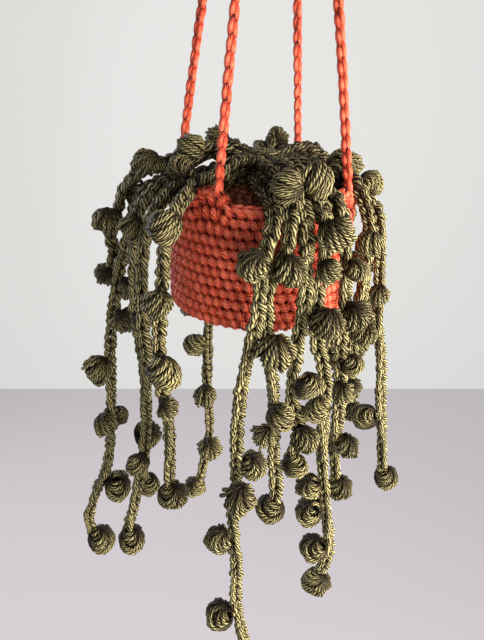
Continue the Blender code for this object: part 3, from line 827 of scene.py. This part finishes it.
def cordEnds(azimuth):
    low = polar(hanger["cordRing"], azimuth, rimZ + pot["peakRise"] + pot["rimAbovePlane"] + hanger["gap"])
    top = rimZ + hanger["apexAboveRim"] - hanger["knotHeight"] * 0.5 - 2.5 * hanger["gap"]
    return low, polar(hanger["spread"], azimuth, top) + apexShift


def makeCords(link):
    for number, (node, azimuth) in enumerate(cordAzimuths.items()):
        low, high = cordEnds(azimuth)
        along = (high - low).normalized()
        side = squareTo(along, polar(1.0, azimuth, 0.0))
        centre = [low.lerp(high, i / (hanger["points"] - 1)) for i in range(hanger["points"])]
        marks = [low + along * hanger["chainStart"], *centre[1:-1], high - along * hanger["chainEnd"]]
        path = []
        for i, point in enumerate(marks):
            twist = hanger["cordTurns"][node] + hanger["cordTwist"] * math.sin(i * 0.45 + number)
            path.append((point, swung(side, along.cross(side), math.radians(twist))))
        piece = stitchPath("chain_" + node, [path], link, cordChain["pitch"], coralYarn, number + 1,
                           wobble=5.0)
        dressed(piece, node)


def makeKnot(link):
    # the cords' ends wound round themselves: a chain in a close helix over a core, dark with painted shade
    centre = rimZ + hanger["apexAboveRim"]
    half = hanger["knotHeight"] / 2
    path = []
    for i in range(hanger["knotPoints"]):
        share = i / (hanger["knotPoints"] - 1)
        tucked = max(0.0, 1.0 - min(share, 1 - share) * 9)
        radius = hanger["knotRadius"] - hanger["knotChain"] - hanger["knotTuck"] * tucked
        angle = hanger["knotTurns"] * math.tau * share + 0.6
        out = Vector((math.cos(angle), math.sin(angle), 0.0))
        height = (share - 0.5) * 2 * (half - hanger["knotMargin"])
        path.append((out * radius + apexShift + Vector((0, 0, centre + height)), out))
    wound = stitchPath("knot_chain", [path], link, cordChain["pitch"] * hanger["knotPitch"], coralYarn, 9)
    shape = [(0.0, -0.96), (0.5, -0.9), (0.64, -0.5), (0.64, 0.5), (0.5, 0.9), (0.0, 0.96)]
    profile = [(r * hanger["knotRadius"], centre + z * half) for r, z in shape]
    core = turned("knot_core", profile, 16, coralYarn)
    core.data.transform(Matrix.Translation(apexShift))
    dressed(joined("wound_knot", [wound, core]), "knot")


def loopPoints():
    foot = rimZ + hanger["apexAboveRim"] + hanger["knotHeight"] / 2 + hanger["gap"]
    half = (hanger["loopWidth"] + hanger["loopCord"]) / 2
    centre = hanger["loopCord"] / 2 - half
    start = math.radians(-hanger["loopOpen"])
    side = hanger["loopFeet"] / 2
    ends = [(side, foot), (side, foot + hanger["loopFootHeight"])]
    points = [Vector((x, 0.0, z)) for x, z in ends]
    for i in range(21):
        angle = start + (math.pi - 2 * start) * i / 20
        points.append(Vector((half * math.cos(angle), 0.0, centre + half * math.sin(angle))))
    points += [Vector((-x, 0.0, z)) for x, z in reversed(ends)]
    return smoothCurve([point + apexShift for point in points], 4.5 * mm)


def makeLoop(link):
    path = [(point, Vector((0.0, -1.0, 0.0))) for point in loopPoints()]
    piece = stitchPath("chain_loop", [path], link, cordChain["pitch"] * hanger["loopPitch"], coralYarn, 6)
    dressed(piece, "hanging_loop")


cordLink = family("cord links", makeChainStitch, cordChain)
makeCords(cordLink)
makeKnot(cordLink)
makeLoop(cordLink)
print("hanger made")


# The pot: rounds of single crochet over a lining, a braided rim and a base worked from its middle

def wallFace(travel):
    # radius, height and outward angle of the pot's face, at a distance down the fabric from the rim
    straight = wallHeight - pot["corner"]
    inside = rimRadius - pot["taper"] - pot["corner"]
    if travel <= straight:
        return rimRadius - pot["taper"] * travel / wallHeight, rimZ - travel, 0.0
    bend = (travel - straight) / pot["corner"]
    if bend <= math.pi / 2:
        z = rimZ - straight - pot["corner"] * math.sin(bend)
        return inside + pot["corner"] * math.cos(bend), z, -bend
    return inside - (travel - straight - pot["corner"] * math.pi / 2), rimZ - wallHeight, -math.pi / 2


def liftAt(azimuth, travel):
    # a cord pulls up the top rounds, each less than the one above it
    left = max(0.0, 1.0 - travel / (pot["pulledRounds"] * pot["roundHeight"]))
    return peak(azimuth, pot["pull"], pot["pullSides"]) * left ** 1.4


def potSpot(travel, azimuth, seat, stretch=1.0):
    radius, z, tilt = wallFace(travel)
    radius -= seat * math.cos(tilt)
    z -= seat * math.sin(tilt)
    point = polar(radius, azimuth, z + liftAt(azimuth, travel))
    ahead = polar(radius, azimuth + 1.0, z + liftAt(azimuth + 1.0, travel))
    behind = polar(radius, azimuth - 1.0, z + liftAt(azimuth - 1.0, travel))
    outward = polar(math.cos(tilt), azimuth, math.sin(tilt))
    return point, (ahead - behind).normalized(), outward, Vector((stretch, 1.0, 1.0))


def makeWall(stitches, draw):
    spots = []
    half = pot["roundHeight"] / 2
    for row in range(pot["rounds"]):
        travel = (row + 0.5) * pot["roundHeight"]
        for i in range(pot["stitches"]):
            stray = draw.uniform(-pot["unevenness"], pot["unevenness"])
            azimuth = 360 * (i + pot["drift"] * row + stray) / pot["stitches"]
            stretch = liftAt(azimuth, travel - half) - liftAt(azimuth, travel + half)
            stretch = 1 + stretch / pot["roundHeight"]
            down = travel + draw.uniform(-pot["wander"], pot["wander"])
            spots.append(potSpot(down, azimuth, pot["seat"], stretch))
    wall = stitchPoints("pot_wall", spots, stitches, coralYarn, 11)
    dressed(wall, "pot")


def makeBase(stitches, draw):
    spots = []
    travel = (pot["rounds"] + 0.5) * pot["roundHeight"]
    row = 0
    while wallFace(travel)[0] > 1.0 * mm:
        count = max(5, round(math.tau * wallFace(travel)[0] / pot["stitchWidth"]))
        for i in range(count):
            stray = draw.uniform(-pot["unevenness"], pot["unevenness"])
            azimuth = 360 * (i + pot["baseDrift"] * row + stray) / count
            spots.append(potSpot(travel, azimuth, pot["seat"] * pot["baseSeat"]))
        travel += pot["roundHeight"]
        row += 1
    base = stitchPoints("pot_base", spots, stitches, coralYarn, 12)
    dressed(base, "pot")


def makeRim(stitches, rimLink):
    # the last round's top loops lie along the edge as a braid; inside it the fabric's back shows
    ring = []
    for azimuth in range(0, 360, 2):
        height = rimZ - pot["braidDown"] + liftAt(azimuth, 0.0)
        point = polar(rimRadius - pot["braidIn"], azimuth, height)
        ring.append((point, polar(0.55, azimuth, 0.83)))
    pitch = math.tau * rimRadius / pot["stitches"] * 0.99
    braid = stitchPath("rim_braid", [ring], rimLink, pitch, coralYarn, 13, closed=True)
    spots = []
    for i in range(pot["stitches"]):
        azimuth = 360 * (i + 0.4) / pot["stitches"]
        height = rimZ - pot["backDown"] + liftAt(azimuth, 0.0)
        point = polar(rimRadius - pot["wall"] + pot["backIn"], azimuth, height)
        along = polar(1.0, azimuth - 90, 0.0)
        spots.append((point, along, polar(-1.0, azimuth, 0.0), Vector((1.0, 0.8, 1.0))))
    inner = stitchPoints("rim_inner", spots, stitches, coralYarn, 14)
    dressed(joined("pot_rim", [braid, inner]), "pot")


def makeLining():
    # the back of the same fabric, dark with painted shade behind the stitches: up its outside, over the
    # edge, down inside
    inward, wall = pot["liningIn"], pot["wall"]
    floor = rimZ - wallHeight
    top = rimZ - pot["liningTop"]
    profile = [(0.0, floor + 2.2 * mm)]
    for i in range(14, 0, -1):
        radius, z, tilt = wallFace(wallHeight * 1.06 * i / 14)
        profile.append((radius - inward * math.cos(tilt), z - inward * math.sin(tilt)))
    profile += [(rimRadius - inward, top), (rimRadius - wall, top), (rimRadius - wall, rimZ - 8 * mm),
                (rimRadius - 6 * mm, floor + 6 * mm), (rimRadius - 10 * mm, floor + wall),
                (0.0, floor + wall)]
    lining = turned("pot_lining", profile, 90, coralYarn,
                    lift=lambda co: liftAt(math.degrees(math.atan2(co.y, co.x)), rimZ - co.z))
    dressed(lining, "pot")


def makePot(stitches, rimLink):
    draw = random.Random(pot["seed"])
    makeWall(stitches, draw)
    makeBase(stitches, draw)
    makeRim(stitches, rimLink)
    makeLining()


coralStitches = family("single crochet", makeSingleCrochet, singleCrochet)
rimStitch = family("rim links", makeChainStitch, rimChain)
makePot(coralStitches, rimStitch)
print("pot made")


# The soil cover: domed rounds of brown single crochet on a backing, dark with painted shade

soil = {
    "thickness": 3.4 * mm,
    "edge": -4.5 * mm,           # top at the wall, above the rim plane
    "crown": 5.5 * mm,           # top at the middle
    "seat": 1.7 * mm,
    "inner": 9.0 * mm,           # the strands' crown covers what is inside this radius
    "clear": 0.7 * mm,           # between its edge and the pot
    "firstRound": 1.8 * mm,      # from its edge in
    "backing": 2.2 * mm,         # the backing's top below its face
    "drift": 0.31,
    "unevenness": 0.07,
}


def soilHeight(radius):
    share = min(1.0, radius / (rimRadius - pot["wall"]))
    return soil["edge"] + (soil["crown"] - soil["edge"]) * (1 - share * share)


def makeSoil(stitches):
    draw = random.Random(pot["seed"] + 1)
    edge = rimRadius - pot["wall"] - soil["clear"]
    radius = edge - soil["firstRound"]
    spots = []
    row = 0
    while radius > soil["inner"]:
        slope = math.atan2(soilHeight(radius + mm) - soilHeight(radius - mm), 2 * mm)
        count = round(math.tau * radius / pot["stitchWidth"])
        for i in range(count):
            stray = draw.uniform(-soil["unevenness"], soil["unevenness"])
            azimuth = 360 * (i + soil["drift"] * row + stray) / count
            point = polar(radius, azimuth, rimZ + soilHeight(radius) - soil["seat"])
            normal = polar(-math.sin(slope), azimuth, math.cos(slope))
            spots.append((point, polar(1.0, azimuth - 90, 0.0), normal, Vector((1.0, 0.9, 1.0))))
        radius -= pot["roundHeight"]
        row += 1
    cover = stitchPoints("soil_stitches", spots, stitches, brownYarn, 15, wobble=6.0)
    rings = [edge * i / 10 for i in range(11)]
    top = [(r, rimZ + soilHeight(r) - soil["backing"]) for r in reversed(rings)]
    under = [(r, rimZ + soilHeight(r) - soil["thickness"]) for r in rings]
    backing = turned("soil_backing", under + top, 60, brownYarn)
    dressed(joined("worked_soil", [cover, backing]), "soil_cover")


makeSoil(coralStitches)


# The filling: loose polyester fibre, a soft closed form with lumps, all inside the pot

filling = {
    "underSoil": 1.2 * mm,       # its clearances
    "insideWall": 1.4 * mm,
    "overBase": 0.6 * mm,
    "foot": 4.2 * mm,            # how far it draws in at the base
    "lumps": 5,                  # waves round it
    "dent": 0.5 * mm,
    "wisps": 400.0,
    "seed": 8,
}


def makeFilling():
    bottom = rimZ - wallHeight + pot["wall"] + filling["overBase"]
    edge = rimRadius - pot["wall"] - filling["insideWall"]
    rings = [edge * i / 8 for i in range(9)]
    under = rimZ - soil["thickness"] - filling["underSoil"]
    top = [(r, under + soilHeight(r)) for r in reversed(rings)]
    base = rimRadius - pot["taper"] - pot["wall"] - filling["foot"]
    side = [(base + (edge - base) * min(1.0, i / 3) ** 0.5, bottom + 1.5 * mm * i * i) for i in range(1, 6)]
    profile = [(0.0, bottom), (base * 0.5, bottom), (base, bottom + 0.4 * mm)] + side + top
    white, tree, shader = newMaterial("loose polyester filling", {
        "Base Color": hexColor("#e8e6df"),
        "Roughness": 0.9,
        "Sheen Weight": 0.4,
    })
    where = addNode(tree, "ShaderNodeTexCoord").outputs["Object"]
    wisps = addNode(tree, "ShaderNodeTexNoise", {
        "Vector": where, "Scale": filling["wisps"], "Detail": 4.0, "Distortion": 2.0}).outputs["Fac"]
    bump = addNode(tree, "ShaderNodeBump", {
        "Height": wisps, "Strength": 0.7, "Distance": 1.0 * mm}).outputs[0]
    tree.links.new(bump, shader.inputs["Normal"])
    piece = turned("loose_filling", profile, 40, white)
    # each wave has a size and two phases
    draw = random.Random(filling["seed"])
    spans = ((0.15, 0.4), (0, 6), (0, 6))
    waves = [[draw.uniform(*span) for span in spans] for i in range(filling["lumps"])]
    for vert in piece.data.vertices:
        place = vert.co - potAxis
        angle = math.atan2(place.y, place.x)
        dent = sum(size * math.sin(angle * (3 + i) + phase + place.z * 90 * (i + 1) + other)
                   for i, (size, phase, other) in enumerate(waves))
        reach = math.hypot(place.x, place.y)
        if reach > 1 * mm:
            vert.co -= Vector((place.x, place.y, 0.0)) * (filling["dent"] * (1 + dent) / reach)
    dressed(piece, "stuffing")


makeFilling()
print("soil and filling made")


# The strands: a chain stem each, with bobbles worked onto it

strand = {
    "reach": 9.0 * mm,           # from the stem's middle to a bobble's
    # a bobble hangs over, so that the hollow where its strands meet shows above it and to one side: the
    # least and the most that it yaws, pitches and tilts, in degrees, and its size to each of its sides
    "yaw": (15, 50),
    "pitch": (15, 60),
    "tilt": (-50, 50),
    "uneven": (0.88, 1.06),
    "crownRadius": 11.8 * mm,
    "crownHeight": 6.4 * mm,
    "gap": 0.3 * mm,
    "seed": 11,
    "twist": 50.0,               # degrees; the chain turns slowly from face to edge over about this length
    "twistStep": 26.0 * mm,
    "slackLength": 58.0 * mm,    # of its start, where it is pulled wide
    "slackWide": 0.6,            # how much wider, thicker and longer its links are there
    "slackThick": 0.5,
    "slackLong": 0.15,
    "unevenness": 0.13,
}
routeStep = 2.0 * mm
# a strand's way from the crown to the rim: radius, height above rim (mm)
overSoil = {
    "low": [(12.7, 8.6), (23.0, 7.6), (35.0, 5.6), (46.0, 4.7)],
    "high": [(10.0, 13.8), (21.0, 14.2), (34.0, 9.0), (46.0, 4.9)],
    "raised": [(10.0, 13.8), (21.0, 14.6), (34.0, 12.5), (46.0, 9.0)],
    "arched": [(10.0, 13.8), (21.0, 17.6), (34.0, 17.5), (46.0, 11.0)],
}
# where each strand leaves the crown and crosses the rim (degrees), its route in mm from the pot's axis and
# the rim plane, and its bobbles as (mm up from the tip, side, size); side is in degrees round the stem, from
# where it faces out or up
strands = {
    "strand_left_short": dict(
        start=178, rim=181, over="arched",
        route=[(-61, -1, 6), (-70, -3, -3), (-73, -4, -13), (-77, -5, -26), (-75, -6, -35),
               (-77, -7, -44)],
        bobbles=[(0, -20, 0.76), (26, 70, 0.91), (60, 60, 0.87), (44, -160, 0.98), (84, 70, 0.86)]),
    "strand_left_long": dict(
        start=160, rim=192, over="low",
        route=[(-60, -11, -5), (-67, -13, -25), (-72, -14, -50), (-77, -14, -88), (-78, -14, -120),
               (-79, -14, -148), (-82, -15, -168), (-90, -15, -188), (-94, -15, -205), (-92, -15, -216)],
        bobbles=[(0, 150, 1.10), (42, 170, 1.08), (86, 70, 0.87), (84, -130, 0.70), (120, 40, 0.97),
                 (150, 140, 0.88), (168, 150, 0.80)]),
    "strand_left_inner": dict(
        start=196, rim=202, over="low",
        route=[(-57, -22, -6), (-61, -25, -25), (-61, -26, -55), (-57, -25, -90), (-56, -25, -125),
               (-58, -26, -162)],
        bobbles=[(0, 130, 0.90), (21, -110, 0.96), (81, 110, 0.71), (97, 100, 0.66), (145, 60, 0.78)]),
    "strand_left_front": dict(
        start=222, rim=213, over="low",
        route=[(-49, -33, -5), (-54, -38, -24), (-55, -39, -55), (-53, -39, -82), (-54, -39, -105),
               (-54, -39, -128), (-58, -40, -155), (-64, -41, -188)],
        bobbles=[(0, 120, 1.03), (47, 40, 0.76), (203, -10, 0.83)]),
    "strand_front_left": dict(
        start=232, rim=225, over="high",
        route=[(-38, -42, -2), (-42, -49, -14), (-43, -51, -32), (-45, -52, -52), (-44, -51, -85),
               (-40, -50, -112), (-40, -50, -148)],
        bobbles=[(0, 90, 0.96), (50, 50, 0.69), (72, 60, 0.95), (106, 40, 0.90), (138, 30, 0.92)]),
    "strand_front_long": dict(
        start=258, rim=276, over="low",
        route=[(5, -57, -4), (3, -61, -12), (1, -62, -26), (0, -62, -42), (-3, -62, -61), (-6, -61, -87),
               (-6, -61, -105), (-5, -61, -122), (-4, -61, -141), (-5, -61, -157), (-2, -61, -189),
               (-2, -61, -206), (-1, -61, -221), (2, -61, -236), (6, -61, -256)],
        bobbles=[(0, -90, 1.05), (29, -100, 1.10), (83, -90, 0.95), (117, 10, 1.00), (131, 90, 0.89),
                 (237, -40, 0.85)]),
    "strand_front_second": dict(
        start=274, rim=284, over="raised",
        route=[(12, -56, 0), (12, -58, -10), (10, -57, -18), (6, -56, -30), (4, -56, -46), (7, -57, -68),
               (10, -57, -84), (12, -57, -109), (13, -57, -123), (16, -57, -140), (16, -57, -148)],
        bobbles=[(0, -60, 0.93), (42, -60, 0.75), (55, 10, 0.90), (88, 10, 1.03), (130, 40, 0.91),
                 (160, -30, 0.90)]),
    "strand_front_third": dict(
        start=292, rim=290, over="low",
        route=[(18, -51, -4), (20, -54, -20), (21, -54, -45), (20, -54, -70), (20, -54, -88),
               (24, -54, -106), (23, -54, -122)],
        bobbles=[(0, 20, 0.85), (14, 0, 0.87), (42, 50, 0.85), (20, 130, 0.66)]),
    "strand_front_fourth": dict(
        start=308, rim=300, over="high",
        route=[(27, -47, -4), (28, -51, -18), (27, -52, -40), (29, -51, -58), (35, -50, -78),
               (37, -49, -108), (40, -49, -135), (46, -48, -168), (49, -48, -190), (46, -48, -204)],
        bobbles=[(0, -30, 1.02), (15, -140, 0.94), (43, -140, 1.03), (61, -130, 0.88), (111, -70, 0.75),
                 (159, 0, 0.97), (183, 0, 0.67), (197, 0, 0.97), (217, -10, 0.94)]),
    "strand_right_front": dict(
        start=320, rim=313, over="low",
        route=[(36, -41, -4), (39, -43, -20), (41, -43, -46), (43, -42, -76), (45, -41, -100),
               (46, -40, -122), (49, -40, -146)],
        bobbles=[(0, 10, 0.85), (23, 0, 0.81), (17, 130, 0.84), (57, -40, 0.70), (71, 20, 0.70),
                 (99, 0, 0.89), (121, 0, 0.70)]),
    "strand_right_inner": dict(
        start=343, rim=340, over="high",
        route=[(50, -18, -4), (53, -22, -18), (52, -26, -45), (51, -26, -70), (51, -26, -92)],
        bobbles=[(0, 10, 0.76), (29, -30, 0.77), (73, -70, 0.79), (111, 30, 0.87)]),
    "strand_right_long": dict(
        start=355, rim=352, over="low",
        route=[(55, -10, -3), (60, -10, -17), (63, -10, -40), (66, -10, -64), (71, -10, -88),
               (74, -10, -112), (79, -10, -138), (82, -10, -160)],
        bobbles=[(0, -20, 0.93), (38, -170, 0.99), (114, -90, 0.73), (168, 30, 0.78)]),
    "strand_right": dict(
        start=18, rim=14, over="high",
        route=[(55, 12, -3), (59, 13, -22), (60, 14, -55), (60, 14, -92), (62, 14, -128)],
        bobbles=[(0, -90, 0.88), (68, -90, 0.86), (40, -100, 0.86), (90, -120, 0.81)]),
    "strand_right_back": dict(
        start=53, rim=40, over="arched",
        route=[(46, 36, 3), (49, 38, -14), (50, 39, -45), (49, 38, -80), (50, 38, -108)],
        bobbles=[(0, -70, 0.85), (33, -170, 0.90), (61, -70, 0.85), (91, -130, 0.81), (115, -50, 0.85)]),
    "strand_back_short": dict(
        start=88, rim=89, over="arched",
        route=[(3, 56, 4), (4, 60, -14), (4, 61, -44), (3, 60, -72)],
        bobbles=[(0, 160, 0.93), (29, 100, 0.90), (53, 90, 0.88), (107, -60, 0.77)]),
    "strand_back_long": dict(
        start=106, rim=115, over="low",
        route=[(-24, 51, -5), (-27, 54, -25), (-28, 55, -60), (-29, 55, -100), (-28, 55, -140),
               (-25, 55, -180), (-28, 55, -212), (-31, 55, -228)],
        bobbles=[(0, 80, 0.98), (36, 160, 1.10), (78, 150, 1.05), (112, 70, 0.96), (154, 170, 0.90),
                 (184, 60, 0.89)]),
    "strand_back_left": dict(
        start=133, rim=138, over="arched",
        route=[(-41, 38, 4), (-44, 42, -14), (-44, 43, -45), (-41, 43, -78)],
        bobbles=[(0, -180, 0.90), (25, 150, 0.85), (59, 120, 0.82), (113, 60, 0.80)]),
}


def strandRoute(plan):
    start, rim = plan["start"], plan["rim"]
    over = overSoil[plan["over"]]
    turns = [start + (rim - start) * share for share in (0.0, 0.4, 0.85, 1.0)]
    points = [polar(r * mm, turn, rimZ + z * mm) for (r, z), turn in zip(over, turns)]
    points[-1].z += peak(rim, pot["peakRise"], pot["peakSides"])
    points += [Vector((x * mm, y * mm, rimZ + z * mm)) for x, y, z in plan["route"]]
    return smoothCurve(points, routeStep)


def bobbleSpot(route, fromTip, side, size, draw):
    count = round(fromTip * mm / (route[1] - route[0]).length)
    k = max(1, min(len(route) - 2, len(route) - 1 - count))
    along = (route[k + 1] - route[k - 1]).normalized()
    place = route[k] if count > 0 else route[-1]
    out = squareTo(along, Vector((place.x, place.y, 0.0)).normalized() + Vector((0.0, 0.0, 1.0)))
    out = swung(out, out.cross(along), math.radians(side))
    reach = strand["reach"] * size
    if fromTip == 0:
        # the lowest one ends the stem
        out = (out * 0.45 + along * 0.9).normalized()
        reach *= 0.75
    centre = place + out * reach
    hand = math.copysign(1, side) if abs(side) > 15 else draw.choice((-1, 1))
    out = swung(out, out.cross(along), hand * math.radians(draw.uniform(*strand["yaw"])))
    across = out.cross(along).normalized()
    out = swung(out, along, math.radians(draw.uniform(*strand["pitch"])))
    axis = swung(across.cross(out).normalized(), across, math.radians(draw.uniform(*strand["tilt"])))
    scale = Vector([size * draw.uniform(*strand["uneven"]) for axisName in "xyz"])
    return centre, axis, out, scale


def stemSize(length, draw):
    # the chain is pulled wide where it lies on the soil, evens out as it hangs, and is never quite regular
    # where it is pulled wide, its yarn gets painted shade
    def at(share):
        slack = 1 + draw.uniform(-strand["unevenness"], strand["unevenness"])
        spread = max(0.0, 1.0 - share * length / strand["slackLength"])
        heap = min(1.0, 2.2 * spread)
        width = slack * (1.0 + strand["slackWide"] * heap)
        return width, slack * (1.0 + strand["slackThick"] * heap), 1.0 + strand["slackLong"] * spread
    return at


def makeStrands(link, balls):
    bobbleDraw = random.Random(strand["seed"])
    draw = random.Random(strand["seed"] + 1)
    for number, (name, plan) in enumerate(strands.items()):
        route = strandRoute(plan)
        phase = draw.uniform(0, math.tau)
        path = []
        for i, point in enumerate(route):
            along = heading(route, i)
            out = squareTo(along, Vector((point.x, point.y, 0.0)).normalized() + Vector((0.0, 0.0, 0.8)))
            twist = math.sin(phase + i * routeStep / strand["twistStep"]) * min(1.0, i / 30)
            path.append((point, swung(out, along.cross(out), math.radians(strand["twist"]) * twist)))
        length = (route[1] - route[0]).length * (len(route) - 1)
        stem = stitchPath(name + "_stem", [path], link, stemChain["pitch"], oliveYarn, 40 + number,
                          wobble=11.0, size=stemSize(length, draw))
        spots = [bobbleSpot(route, *place, bobbleDraw) for place in plan["bobbles"]]
        balled = stitchPoints(name + "_bobbles", spots, balls, oliveYarn, 70 + number, wobble=0.0)
        dressed(joined("worked_" + name, [stem, balled]), name)


def makeCrown(link):
    # the strands' gathered start: rings of chain on a low mound, drawn in at its middle; the rings are wide
    # enough to take the gathered chain's painted shade, and the mound is dark with painted shade
    base = rimZ + soilHeight(0) + strand["gap"]
    rings = []
    for radius, height, tilt in ((11.0, 3.0, 20), (10.0, 7.0, 45), (7.4, 10.2, 70), (3.6, 11.4, 90)):
        lean = math.radians(tilt)
        rings.append([(polar(radius * mm, azimuth, base + height * mm),
                       polar(math.cos(lean), azimuth, math.sin(lean))) for azimuth in range(0, 360, 10)])
    chained = stitchPath("crown_chain", rings, link, stemChain["pitch"] * 0.95, oliveYarn, 60, closed=True,
                         size=lambda share: (1.4, 1.1, 1.0))
    shape = [(0.0, 0.02), (0.78, 0.02), (0.92, 0.4), (0.88, 1.0), (0.62, 1.45), (0.3, 1.6), (0.0, 1.6)]
    profile = [(r * strand["crownRadius"], base + z * strand["crownHeight"]) for r, z in shape]
    mound = turned("crown_mound", profile, 24, oliveYarn)
    dressed(joined("worked_crown", [chained, mound]), "strand_crown")


stemLink = family("stem links", makeChainStitch, stemChain)
oliveBobbles = family("bobbles", makeBobble, bobble)
makeStrands(stemLink, oliveBobbles)
makeCrown(stemLink)
print("strands made")

for template in templates:
    bpy.data.objects.remove(template)
